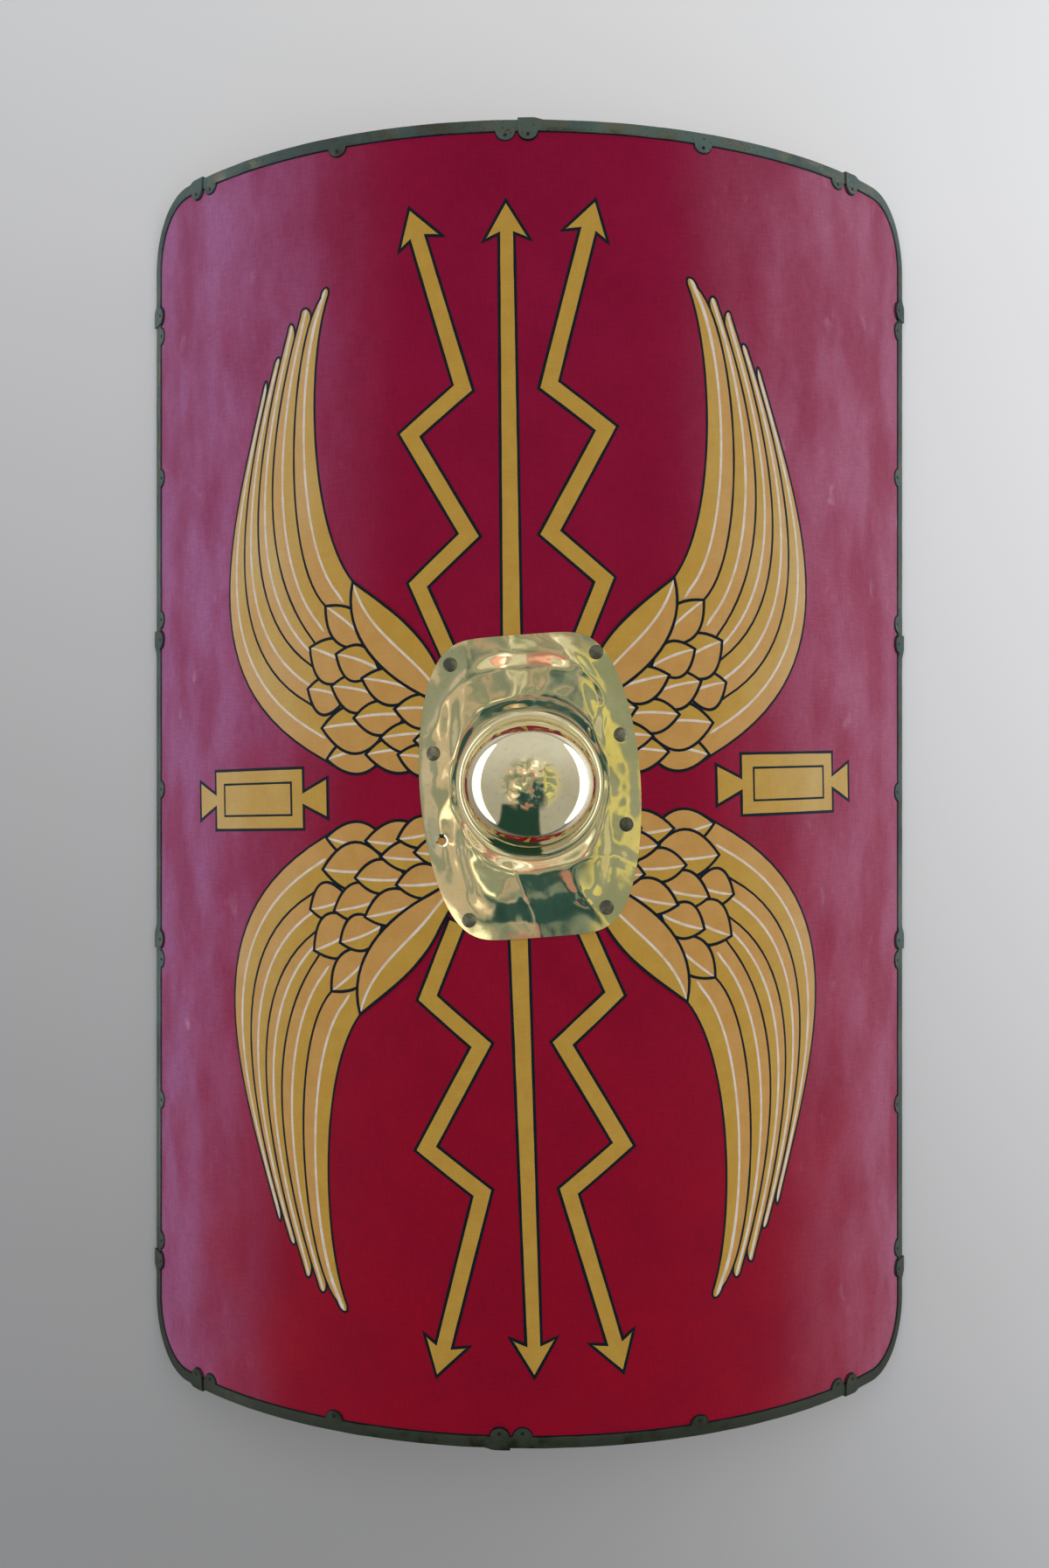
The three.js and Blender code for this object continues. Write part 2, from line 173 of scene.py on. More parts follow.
def maths(tree, operation, *values):
    """The result of a Math node."""
    return add(tree, "Math", dict(enumerate(values)), operation=operation).outputs[0]


def between(tree, value, low, high):
    """0 below low, 1 above high, and a smooth change in between."""
    inputs = {"Value": value, "From Min": low, "From Max": high}
    return add(tree, "MapRange", inputs, interpolation_type="SMOOTHSTEP").outputs["Result"]


def blend(tree, share, first, second, blend_type="MIX"):
    """The first colour, changed towards the second by share."""
    inputs = {0: share, 6: first, 7: second}
    return add(tree, "Mix", inputs, data_type="RGBA", blend_type=blend_type).outputs[2]


def new_group(name, inputs, outputs):
    """An empty node group with named inputs {name: (type, value)} and outputs {name: type}."""
    group = bpy.data.node_groups.new(name, "ShaderNodeTree")
    for label, (kind, value) in inputs.items():
        socket = group.interface.new_socket(label, in_out="INPUT", socket_type="NodeSocket" + kind)
        if kind == "Float":
            socket.default_value = value
    for label, kind in outputs.items():
        group.interface.new_socket(label, in_out="OUTPUT", socket_type="NodeSocket" + kind)
    return group, group.nodes.new("NodeGroupInput").outputs, group.nodes.new("NodeGroupOutput").inputs


def new_material(name, **values):
    """A material and its Principled shader; values are its constant sockets, with _ for a space."""
    material = bpy.data.materials.new(name)
    material.use_nodes = True
    shader = material.node_tree.nodes["Principled BSDF"]
    for key, value in values.items():
        shader.inputs[key.replace("_", " ")].default_value = value
    return material, material.node_tree, shader


print("crimson in linear light:", [round(c, 3) for c in colour("870433")[:3]])

# %% [markdown]
# ## Effects that several finishes share
# **Patches** is soft cloudy variation with a threshold. Paint, wood and metal all use it, each at its own
# scale, because no hand-made surface has one even colour.

# %% Group: patches
patches, given, result = new_group(
    "patches",
    {"Vector": ("Vector", None), "Scale": ("Float", 20), "Low": ("Float", 0.4), "High": ("Float", 0.6)},
    {"Mask": "Float"},
)
cloud = add(patches, "TexNoise", {"Vector": given["Vector"], "Scale": given["Scale"], "Detail": 6.0})
mask = between(patches, cloud.outputs[0], given["Low"], given["High"])
patches.links.new(mask, result["Mask"])
print("group", patches.name, "made")

# %% [markdown]
# ** Streaks** is the same cloud, drawn out along one direction. The board's scuffs and its rubbed and sheen
# mask run up and down, wood has its grain along the board and the bar, and polished brass has fine
# scratches along one way, so all three use it.

# %% Group: streaks
streaks, given, result = new_group(
    "streaks",
    {
        "Vector": ("Vector", None), "Across": ("Float", 100), "Along": ("Float", 5),
        "Low": ("Float", 0.4), "High": ("Float", 0.6),
    },
    {"Mask": "Float"},
)
parts = add(streaks, "SeparateXYZ", {"Vector": given["Vector"]}).outputs
drawn = add(streaks, "CombineXYZ", {
    "X": maths(streaks, "MULTIPLY", parts["X"], given["Across"]),
    "Y": maths(streaks, "MULTIPLY", parts["Y"], given["Along"]),
    "Z": maths(streaks, "MULTIPLY", parts["Z"], given["Across"]),
})
cloud = add(streaks, "TexNoise", {"Vector": drawn.outputs[0], "Scale": 1.0, "Detail": 5.0})
mask = between(streaks, cloud.outputs[0], given["Low"], given["High"])
streaks.links.new(mask, result["Mask"])
print("group", streaks.name, "made")

# %% [markdown]
# **Linen** is the weave that shows through the paint. Plain cloth is a grid of small pillows where threads
# pass over each other, which the product of two sines gives. Hand-spun thread is thick and thin along its
# length, so two clouds drawn out along the threads change the height and, a little, the colour.

# %% Group: linen
linen, given, result = new_group(
    "linen",
    {"Vector": ("Vector", None), "Threads": ("Float", 600)},
    {"Height": "Float", "Slubs": "Float"},
)
THREAD_STRETCH = 0.13  # a slub is this much finer across the thread than along it


def thread_cloud(x_share, y_share):
    """The thick and thin places of the threads that run one way."""
    place = add(linen, "CombineXYZ", {
        "X": maths(linen, "MULTIPLY", parts["X"], x_share),
        "Y": maths(linen, "MULTIPLY", parts["Y"], y_share),
        "Z": y_share,
    })
    return add(linen, "TexNoise", {"Vector": place.outputs[0], "Scale": 1.0, "Detail": 2.0}).outputs[0]


scaled = add(linen, "VectorMath", {0: given["Vector"], "Scale": given["Threads"]}, operation="SCALE")
parts = add(linen, "SeparateXYZ", {"Vector": scaled.outputs[0]}).outputs
warp, weft = thread_cloud(1, THREAD_STRETCH), thread_cloud(THREAD_STRETCH, 1)
waves = [maths(linen, "SINE", maths(linen, "MULTIPLY", parts[axis], math.pi)) for axis in "XY"]
pillows = maths(linen, "MULTIPLY", *waves)
slubs = maths(linen, "ADD", maths(linen, "MULTIPLY", warp, 0.5), maths(linen, "MULTIPLY", weft, 0.5))
height = maths(linen, "ADD", maths(linen, "MULTIPLY", pillows, 0.22), slubs)
linen.links.new(height, result["Height"])
linen.links.new(slubs, result["Slubs"])
print("group", linen.name, "made")

# %% [markdown]
# ** Rubbed and sheen** says where the painted face is pale and mauve: where the board curves away at both
# sides, further in near the upper end than near the lower one, in soft clouds that are drawn out upwards.
# It is partly real rubbing and partly a painted sheen, the reflection of low side light on the curved
# flanks. The crimson, the gold and the outlines follow it.

# %% Group: rubbed and sheen
rubbed_and_sheen, given, result = new_group("rubbed_and_sheen", {"Vector": ("Vector", None)}, {"Mask": "Float"})
place = add(rubbed_and_sheen, "SeparateXYZ", {"Vector": given["Vector"]}).outputs
lower_end = maths(rubbed_and_sheen, "MULTIPLY", between(rubbed_and_sheen, place["Y"], 0.35, -0.45), 0.1)
from_side = maths(rubbed_and_sheen, "SUBTRACT", maths(rubbed_and_sheen, "ABSOLUTE", place["X"]), lower_end)
smears_and_sheen = add(rubbed_and_sheen, "Group", {
    "Vector": given["Vector"], "Across": 22.0, "Along": 9.0, "Low": 0.34, "High": 0.66,
}, node_tree=streaks).outputs[0]
uneven = maths(rubbed_and_sheen, "ADD", maths(rubbed_and_sheen, "MULTIPLY", smears_and_sheen, 0.46), 0.42)
# Painted sheen and rubbing: the mask is strongest where the board curves away at both sides.
mask = maths(rubbed_and_sheen, "MULTIPLY", between(rubbed_and_sheen, from_side, 0.09, 0.3), uneven)
rubbed_and_sheen.links.new(mask, result["Mask"])
print("group", rubbed_and_sheen.name, "made")

# %% [markdown]
# **Aged metal** gives what years do to copper alloys: a tarnish that spreads in clouds, dark specks, and a
# surface of shallow pits and fine scratches. The binding and the rivets have it strongly, the polished
# boss only as a trace.

# %% Group: aged metal
aged, given, result = new_group(
    "aged_metal",
    {"Vector": ("Vector", None), "Scale": ("Float", 60)},
    {"Tarnish": "Float", "Specks": "Float", "Height": "Float"},
)
cloud = add(aged, "TexNoise", {
    "Vector": given["Vector"], "Scale": given["Scale"], "Detail": 8.0, "Roughness": 0.62,
})
fine_scale = maths(aged, "MULTIPLY", given["Scale"], 9.0)
grit = add(aged, "TexNoise", {"Vector": given["Vector"], "Scale": fine_scale, "Detail": 3.0})
cells = add(aged, "TexVoronoi", {"Vector": given["Vector"], "Scale": fine_scale}, feature="F1")
aged.links.new(between(aged, cloud.outputs[0], 0.34, 0.58), result["Tarnish"])
aged.links.new(between(aged, grit.outputs[0], 0.6, 0.7), result["Specks"])
pits = maths(aged, "MULTIPLY", between(aged, cells.outputs["Distance"], 0.1, 0.5), 0.4)
aged.links.new(maths(aged, "ADD", pits, maths(aged, "MULTIPLY", grit.outputs[0], 0.6)), result["Height"])
print("group", aged.name, "made")

# %% [markdown]
# ## The painted board
# On the real shield this is three thin sheets of plywood glued together over a drum, faced with linen and
# painted crimson. The edge is straight on the flat sheet, with a round at each corner, and a round hole in
# the middle makes room for the hand.
#
# The sheet starts as one square face. A vertex bevel rounds its corners, a fill between its outline and
# the outlines of the holes makes the sheet, and a cut every few millimetres lets it bend smoothly. The
# extrusion gives it its thickness before it is bent, so the faces stay parallel.

# %% Places on the board
CORNER = 60.7 * MM  # radius of the bare board's corners on the flat sheet
OPENING_RADIUS = 54 * MM
RIVET_HOLE = 2.7 * MM
BOSS_TURN = math.radians(4.3)  # the plate hangs a little askew
LOST_RIVET = Vector((-74 * MM, -40 * MM, 0))  # on the plate before it is turned
RIVETS = [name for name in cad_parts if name.startswith("rivet_")]


def flat_place(node):
    """The place (s, y) of a CAD node on the flat sheet, from the middle of its box."""
    low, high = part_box(node)
    middle = (low + high) / 2
    return Vector((FACE_RADIUS * math.atan2(middle.x, middle.z - AXIS_Z), middle.y, 0))


lost_rivet = Matrix.Rotation(BOSS_TURN, 3, "Z") @ LOST_RIVET
rivet_places = {name: flat_place(name) for name in sorted(RIVETS)}
print("rivets:", {name: [round(c / MM) for c in place[:2]] for name, place in rivet_places.items()})

# %% Cut the sheet into narrow strips
STRIP = 7 * MM  # widest flat of the bent sheet
UPWARD = 0.5  # a face whose normal rises more than this looks outwards from the shield


def cut_in_strips(bm):
    """Cuts a flat mesh along lines that run the length of the shield, so that it can bend."""
    low = min(v.co.x for v in bm.verts)
    high = max(v.co.x for v in bm.verts)
    for step in range(math.ceil(low / STRIP), math.floor(high / STRIP) + 1):
        everything = [*bm.verts, *bm.edges, *bm.faces]
        bmesh.ops.bisect_plane(bm, geom=everything, plane_co=(step * STRIP, 0, 0), plane_no=(1, 0, 0))


def map_cloth(bm):
    """Keeps each point's place on the flat sheet, in metres, as the UV map that the materials follow."""
    layer = bm.loops.layers.uv.new("cloth")
    for face in bm.faces:
        for loop in face.loops:
            loop[layer].uv = loop.vert.co.xy


print("the board bends in %d strips" % math.ceil(2 * HALF_GIRTH / STRIP))

# %% Build the board
def make_board():
    bm = bmesh.new()
    bmesh.ops.create_grid(bm, x_segments=1, y_segments=1, size=1)
    bmesh.ops.scale(bm, vec=(HALF_GIRTH, HALF_HEIGHT, 1), verts=bm.verts)
    bmesh.ops.bevel(
        bm, geom=bm.verts[:], offset=CORNER, affect="VERTICES", segments=18, profile=0.5, material=-1
    )
    bmesh.ops.delete(bm, geom=bm.faces[:], context="FACES_ONLY")
    holes = [(Vector(), OPENING_RADIUS, 96), (lost_rivet, RIVET_HOLE, 20)]
    holes += [(place, RIVET_HOLE, 12) for place in rivet_places.values()]
    for place, radius, segments in holes:
        bmesh.ops.create_circle(bm, radius=radius, segments=segments, matrix=Matrix.Translation(place))
    bmesh.ops.triangle_fill(bm, edges=bm.edges[:], use_beauty=True)
    cut_in_strips(bm)
    made = bmesh.ops.extrude_face_region(bm, geom=bm.faces[:])["geom"]
    back = [part for part in made if isinstance(part, bmesh.types.BMVert)]
    bmesh.ops.translate(bm, verts=back, vec=(0, 0, -BOARD_THICKNESS))
    close_up(bm)
    map_cloth(bm)
    for face in bm.faces:
        face.material_index = 0 if face.normal.z > UPWARD else 1
    bend(bm)
    return bm


board = make_board()
print("board:", size_of(board))

# %% [markdown]
# ### Crimson paint on linen
# The paint is thin, so the weave shows through it. Where the board curves away at both sides it is mauve,
# in long vertical smears: partly handling and dust, partly a painted sheen of the low side light. It is
# painted bluer at the top and a purer red low down in the middle, a painted reflection of cooler light
# from above. The material mixes three paints with masks: the place across the board, the place along it,
# and streaks.

# %% Material: crimson on linen
crimson, tree, shader = new_material("crimson_on_linen", Specular_IOR_Level=0.12)
cloth = add(tree, "UVMap", uv_map="cloth").outputs[0]
place = add(tree, "SeparateXYZ", {"Vector": cloth}).outputs
weave = add(tree, "Group", {"Vector": cloth, "Threads": 640.0}, node_tree=linen).outputs
clouds = add(tree, "Group", {
    "Vector": cloth, "Scale": 14.0, "Low": 0.3, "High": 0.7,
}, node_tree=patches).outputs[0]

# Painted reflection: the crimson is bluer at the top and a purer red low down, as cooler light from above
# would make it.
body = blend(tree, between(tree, place["Y"], -0.5, 0.45), colour("900120"), colour("870433"))
body = blend(tree, maths(tree, "MULTIPLY", clouds, 0.35), body, colour("740226"))
# Painted sheen, partly rubbing: the curved flanks turn pale mauve.
mauve_sheen = blend(tree, between(tree, place["X"], -0.2, 0.2), colour("a26592"), colour("aa6480"))
worn_and_sheen = add(tree, "Group", {"Vector": cloth}, node_tree=rubbed_and_sheen).outputs[0]
body = blend(tree, worn_and_sheen, body, mauve_sheen)

scuffs = add(tree, "Group", {
    "Vector": cloth, "Across": 42.0, "Along": 26.0, "Low": 0.64, "High": 0.8,
}, node_tree=streaks).outputs[0]
scuffed = maths(tree, "MULTIPLY", scuffs, maths(tree, "MULTIPLY", worn_and_sheen, 0.6))
body = blend(tree, scuffed, body, colour("cfa2bc"))
grain = between(tree, weave["Slubs"], 0.25, 0.75)
body = blend(tree, maths(tree, "MULTIPLY", grain, 0.3), body, colour("4c0418"))
tree.links.new(body, shader.inputs["Base Color"])
tree.links.new(maths(tree, "ADD", maths(tree, "MULTIPLY", clouds, 0.1), 0.55), shader.inputs["Roughness"])
bump = add(tree, "Bump", {"Height": weave["Height"], "Strength": 0.45, "Distance": 0.25 * MM})
tree.links.new(bump.outputs[0], shader.inputs["Normal"])
print("material", crimson.name, "has", len(tree.nodes), "nodes")

# %% [markdown]
# ### Bare plywood at the back
# The back is plain birch plywood. Its grain runs the length of the shield: a broad cloud drawn out along
# it for the figure, a much finer one for the pores, and a few darker handling marks.

# %% Material: birch plywood
birch, tree, shader = new_material("birch_back", Specular_IOR_Level=0.35)
cloth = add(tree, "UVMap", uv_map="cloth").outputs[0]
figure = add(tree, "Group", {
    "Vector": cloth, "Across": 45.0, "Along": 2.2, "Low": 0.3, "High": 0.7,
}, node_tree=streaks).outputs[0]
pores = add(tree, "Group", {
    "Vector": cloth, "Across": 900.0, "Along": 22.0, "Low": 0.45, "High": 0.75,
}, node_tree=streaks).outputs[0]
marks = add(tree, "Group", {
    "Vector": cloth, "Scale": 9.0, "Low": 0.5, "High": 0.75,
}, node_tree=patches).outputs[0]
body = blend(tree, figure, colour("c9a878"), colour("b08c5c"))
body = blend(tree, maths(tree, "MULTIPLY", pores, 0.45), body, colour("7d5c37"))
body = blend(tree, maths(tree, "MULTIPLY", marks, 0.3), body, colour("6f5236"))
tree.links.new(body, shader.inputs["Base Color"])
tree.links.new(maths(tree, "ADD", maths(tree, "MULTIPLY", pores, 0.15), 0.52), shader.inputs["Roughness"])
bump = add(tree, "Bump", {"Height": pores, "Strength": 0.25, "Distance": 0.15 * MM})
tree.links.new(bump.outputs[0], shader.inputs["Normal"])
finish_piece("board_panel", board, [crimson, birch], ["board"])
print("material", birch.name, "made, board finished")

# %% [markdown]
# ## Tools for the painted picture
# The picture is brushed on with three paints: gold, a nearly black outline and a pale line for the quills.
# It could be one image, but then it would have no edges of its own up close. Here each painted area is a
# real film, about a tenth of a millimetre proud of the board, cut from a drawn outline. Where feathers
# overlap, each one lies a film higher than the one before, which is how the painter laid them.
#
# Two helpers draw. One fills an outline. The other lays a brush line along a row of points: a grid two
# points wide, whose sides are moved out by half the width. Both work on the flat sheet.

# %% Fill an outline
FILM = 0.1 * MM  # height of one layer of paint
TONE = "tone"  # the attribute of a face that is 0 where it is golden and 1 where it is browner


def start_film():
    bm = bmesh.new()
    bm.faces.layers.float.new(TONE)
    return bm


def fill_outline(bm, outline, top, tone=0.0):
    """Fills a closed outline of (s, y) points at the height top."""
    corners = [bm.verts.new((*point[:2], top)) for point in outline]
    edges = [bm.edges.new(pair) for pair in zip(corners, corners[1:] + corners[:1])]
    faces = bmesh.ops.edgeloop_fill(bm, edges=edges)["faces"]
    for face in faces:
        face[bm.faces.layers.float[TONE]] = tone
    bmesh.ops.triangulate(bm, faces=faces, quad_method="BEAUTY", ngon_method="BEAUTY")


print("one film is %.2f mm high" % (FILM / MM))

# %% Lay a brush line
LINE_RISE = 0.05 * MM  # a brush line stands this much over the paint under it
STEP = 5 * MM  # a line has a point at least this often
MITRE_LIMIT = 0.45  # a sharper corner is cut off
SWELL_LENGTH = 110 * MM  # a swollen line is back to its width after this
HAND_SHAKE = 0.16  # how unevenly a brush line is pressed, as a share of its width
SHAKE_LENGTH = 18 * MM
BRUSH_TIP = 0.35  # width of a tapered end, as a share of the line's


def beside(points, half_widths, closed=False):
    """The two sides of a band along a row of points, mitred at its corners."""
    count = len(points)
    sides = ([], [])
    for i, point in enumerate(points):
        before = points[i - 1] if closed or i else None
        after = points[(i + 1) % count] if closed or i < count - 1 else None
        headings = [h.normalized() for h in (before and point - before, after and after - point) if h]
        heading = sum(headings, Vector((0, 0))).normalized()
        across = Vector((-heading.y, heading.x))
        reach = half_widths[i] / max(MITRE_LIMIT, heading.dot(headings[0]))
        sides[0].append(point + across * reach)
        sides[1].append(point - across * reach)
    return sides


def closer(points, step=STEP, closed=False):
    """The same row of points, with more on its long stretches."""
    row = []
    ends = points[1:] + points[:1] if closed else points[1:]
    for start, end in zip(points, ends):
        pieces = max(1, math.ceil((end - start).length / step))
        row += [start.lerp(end, i / pieces) for i in range(pieces)]
    return row if closed else row + [points[-1]]


def brush_line(bm, points, width, top, closed=False, taper=0.0, swell=0.0):
    """Lays a brush line along (s, y) points. taper thins its two ends over that length; swell makes it
    wider near its start, by that share."""
    row = closer([Vector(point[:2]) for point in points], closed=closed)
    halves = []
    gone = 0.0
    total = sum((b - a).length for a, b in zip(row, row[1:]))
    for i, point in enumerate(row):
        gone += (point - row[i - 1]).length if i else 0.0
        pressure = 1 + HAND_SHAKE * noise.noise(Vector((*point, 0)) / SHAKE_LENGTH)
        left = min(gone, total - gone) / taper if taper else 1.0
        swollen = 1 + swell * (1 - smooth(0, SWELL_LENGTH, gone))
        halves.append(width / 2 * pressure * swollen * min(1.0, BRUSH_TIP + (1 - BRUSH_TIP) * left))
    left, right = beside(row, halves, closed)
    if closed:
        left, right = left + left[:1], right + right[:1]
    stations = len(left)
    made = bmesh.ops.create_grid(bm, x_segments=stations - 1, y_segments=1, size=1)["verts"]
    for vertex, place in zip(made, right + left):
        vertex.co = (*place, top)


print("a brush line has a point every %.0f mm or closer" % (STEP / MM))

# %% Finish a film
SUNK = -0.05 * MM  # the underside of a film is just inside the board


def finish_film(name, bm, material):
    """Cuts the films to bend, gives them their thickness, lays them on the board and makes the piece."""
    bmesh.ops.remove_doubles(bm, verts=bm.verts, dist=MERGE)
    cut_in_strips(bm)
    under = bm.verts[:]
    bmesh.ops.extrude_face_region(bm, geom=bm.faces[:])
    for vertex in under:
        vertex.co.z = SUNK
    close_up(bm)
    strays = [edge for edge in bm.edges if edge.is_wire]  # left by the fill where an outline is very narrow
    bmesh.ops.delete(bm, geom=strays, context="EDGES")
    map_cloth(bm)
    bend(bm)
    print(name + ":", size_of(bm))
    return finish_piece(name, bm, [material])


print("with its underside a film is %.2f mm thick" % ((FILM - SUNK) / MM))

# %% [markdown]
# ### Where the picture lies
# The painter laid the picture out round a centre a little left of the middle, and turned it slightly. All
# places below are millimetres from that centre on the flat sheet. The left and right halves and the upper
# and lower halves repeat each other, as far as a hand can repeat itself, so each figure is drawn once, for
# the upper right, and mirrored.

# %% The layout of the picture
PICTURE_CENTRE = Vector((-9, -4))
PICTURE_TURN = math.radians(1.4)


def painted(points, side=1, end=1, shift=(0, 0)):
    """Places of the layout, mirrored to a side and an end and shifted by hand, on the flat sheet."""
    turn = Matrix.Rotation(PICTURE_TURN, 2)
    mirrored = [Vector((side * (x + shift[0]), end * (y + shift[1]))) for x, y in points]
    return [(turn @ point + PICTURE_CENTRE) * MM for point in mirrored]


CURVE_STEPS = 28


def curve(p0, p1, p2, p3, steps=CURVE_STEPS):
    """Points of a curve from p0 to p3 that sets off towards p1 and comes in from p2."""
    return [point.xy for point in interpolate_bezier(*(Vector((*p, 0)) for p in (p0, p1, p2, p3)), steps + 1)]


print("the picture is turned %.1f degrees" % math.degrees(PICTURE_TURN))

# %% [markdown]
# ### Three paints
# The gold is an ochre mixed with yellow. Each feather has a golden side and a browner side, which the faces
# keep as an attribute called tone. All three paints let the linen show through. The gold and the outline are
# painted paler where the sides of the board curve away, partly rubbing and partly a painted sheen.

# %% Materials: gold, outline and quill
def cloth_paint(name, body_of, roughness, bump_strength):
    """A paint on the linen; body_of makes its colour from the tree, the place on the cloth and the slubs."""
    material, tree, shader = new_material(name, Roughness=roughness, Specular_IOR_Level=0.12)
    cloth = add(tree, "UVMap", uv_map="cloth").outputs[0]
    weave = add(tree, "Group", {"Vector": cloth, "Threads": 640.0}, node_tree=linen).outputs
    worn_and_sheen = add(tree, "Group", {"Vector": cloth}, node_tree=rubbed_and_sheen).outputs[0]
    grain = between(tree, weave["Slubs"], 0.25, 0.75)
    tree.links.new(body_of(tree, cloth, worn_and_sheen, grain), shader.inputs["Base Color"])
    bump = add(tree, "Bump", {"Height": weave["Height"], "Strength": bump_strength, "Distance": 0.25 * MM})
    tree.links.new(bump.outputs[0], shader.inputs["Normal"])
    return material


def gold_body(tree, cloth, worn_and_sheen, grain):
    tone = add(tree, "Attribute", attribute_name=TONE).outputs["Fac"]
    body = blend(tree, tone, colour("b6913e"), colour("bd9052"))
    thick = add(tree, "Group", {"Vector": cloth, "Scale": 55.0, "Low": 0.3, "High": 0.7}, node_tree=patches)
    body = blend(tree, maths(tree, "MULTIPLY", thick.outputs[0], 0.3), body, colour("a8782a"))
    # Painted sheen, partly rubbing: the gold is paler on the curved flanks.
    body = blend(tree, maths(tree, "MULTIPLY", worn_and_sheen, 0.6), body, colour("d2bc94"))
    return blend(tree, maths(tree, "MULTIPLY", grain, 0.15), body, colour("7c5c24"))


def outline_body(tree, cloth, worn_and_sheen, grain):
    # Painted sheen, partly rubbing: the outline is lighter and bluer on the curved flanks.
    body = blend(tree, worn_and_sheen, colour("040e1a"), colour("182638"))
    return blend(tree, maths(tree, "MULTIPLY", grain, 0.25), body, colour("1c3038"))


def quill_body(tree, cloth, worn_and_sheen, grain):
    thin = add(tree, "Group", {"Vector": cloth, "Scale": 90.0, "Low": 0.35, "High": 0.75}, node_tree=patches)
    body = blend(tree, maths(tree, "MULTIPLY", thin.outputs[0], 0.6), colour("d6ccc0"), colour("c2a884"))
    return blend(tree, maths(tree, "MULTIPLY", grain, 0.2), body, colour("a08468"))


gold_paint = cloth_paint("gold_on_linen", gold_body, 0.55, 0.35)
outline_paint = cloth_paint("outline_on_linen", outline_body, 0.5, 0.3)
quill_paint = cloth_paint("quill_on_linen", quill_body, 0.6, 0.3)
OUTLINE_WIDTH = 2.4 * MM
LONG_OUTLINE_WIDTH = 1.9 * MM
QUILL_WIDTH = 2.1 * MM
OUTLINE_RISE = 0.07 * MM  # the outline of a feather crosses over its quill
print("paints:", gold_paint.name, outline_paint.name, quill_paint.name)

# %% [markdown]
# ### The four wings
# Each wing has five long feathers that sweep up to rounded tips, each tip a step lower and further out than
# the one before. Their edges are five curves that start close together and fan out, and a quill runs down
# the middle of each feather. Where the shoulder is, short pointed coverts overlap like scales, and one
# broad leaf-shaped feather closes the wing on its inner side.
#
# All three kinds are the same thing, an upper edge, a quill and a lower edge between a tip and a root, so
# one function paints them all. Coverts have one shape, each with its own tip, root and breadth, and they
# fan out from behind the boss. Their ranks say which lies over which. The four wings are the same drawing,
# mirrored, but the hand that painted them moved each a little and bent its first feather differently.

# %% The shape of a wing
WING_ROOT = (48, 52)
INNER_EDGE = [(151.5, 410), (174, 356), (174, 222), (134, 172)]
OUTER_EDGES = [
    [(161, 408), (197, 372), (205, 197), (160, 154)],
    [(179, 396), (208, 320), (238, 205), (173, 127)],
    [(192, 386), (219, 312), (266, 166), (175, 106)],
    [(207, 361), (238.5, 277), (286, 131), (178, 75)],
    [(220, 342), (258, 228), (319, 106), (163, 27)],
]
FEATHER_TIPS = [(155.5, 416), (174, 402), (188, 391), (202, 366), (215.5, 347)]
LEAF = {
    "upper": [(134, 172), (106, 151), (80, 134), (64, 102)],
    "quill": [(134, 172), (125, 134), (90, 115), (69, 88)],
    "lower": [(134, 172), (146, 127), (108, 93), (72, 75)],
}
COVERT_RANKS = [  # the coverts of each layer as (tip, root, breadth)
    [((162, 28), (104, 38), 16), ((179, 87), (143, 77), 16)],
    [((166, 54), (104, 54), 20), ((176, 121), (132, 99), 19)],
    [((160, 154), (119, 119), 15), ((156, 88), (109, 77), 16), ((126, 31), (67, 34), 16)],
    [((151, 114), (113, 100), 15), ((136, 61), (90, 62), 14)],
    [((128, 93), (77, 80), 15), ((113, 44), (62, 46), 13)],
    [((100, 67), (53, 64), 14), ((98, 30), (55, 22), 13)],
    [((84, 41), (42, 42), 12)],
]
TIP_LENGTH = 5  # a tip is drawn round over this much of its feather
TIP_POINTS = 12
TIP_MIDDLE = TIP_POINTS // 2
HIDDEN = 16  # the long edges run on this far under the coverts
QUILL_PLACE = 0.53  # the quill lies this share of the way from the inner edge to the outer one
print("a wing has", len(OUTER_EDGES), "long feathers and", sum(map(len, COVERT_RANKS)), "coverts")

# %% Long feathers
def run_on(row, further=HIDDEN):
    """The same row of points with one more beyond its end."""
    return row + [row[-1] + (row[-1] - row[-3]).normalized() * further]


def moved(points, shifts):
    """A curve's points, with its tip and the point after it moved outwards."""
    return [(x + shift, y) for (x, y), shift in zip(points, (*shifts, 0, 0))]


def long_feathers(first):
    """The long feathers as (upper edge, quill, lower edge, outline), each from its tip to the root.
    first moves the inner and the outer edge of the first feather outwards near its tip."""
    feathers = []
    inner = curve(*moved(INNER_EDGE, first["inner"]))
    for number, (tip, points) in enumerate(zip(FEATHER_TIPS, OUTER_EDGES)):
        outer = curve(*(points if number else moved(points, first["outer"])))
        tip = Vector(tip)
        if feathers:
            inner = [point for point in inner if point.y <= tip.y - TIP_LENGTH]
        outer = [point for point in outer if point.y <= tip.y - TIP_LENGTH]
        up_in, up_out = ((row[0] - row[1]).normalized() for row in (inner, outer))
        rise = tip - (inner[0] + outer[0]) / 2
        up_in = (up_in + rise.normalized()).normalized()
        up_out = (up_out + 2 * rise.normalized()).normalized()  # the outer side turns in sooner
        # The middle of such a curve lies 3/8 of both pulls away from its two ends: here that is the tip.
        pull = 8 / 3 * rise.dot(up_in + up_out) / (up_in + up_out).length_squared
        cap = curve(inner[0], inner[0] + up_in * pull, outer[0] + up_out * pull, outer[0], TIP_POINTS)
        middle = [a.lerp(b, QUILL_PLACE) for a, b in zip(resampled(inner), resampled(outer))]
        quill = [cap[TIP_MIDDLE]] + middle[2:]
        outline = cap + run_on(outer)[1:] if feathers else inner[::-1] + cap[1:] + run_on(outer)[1:]
        feathers.append((cap[TIP_MIDDLE::-1] + inner[1:], quill, cap[TIP_MIDDLE:] + outer[1:], outline))
        inner = outer
    return feathers


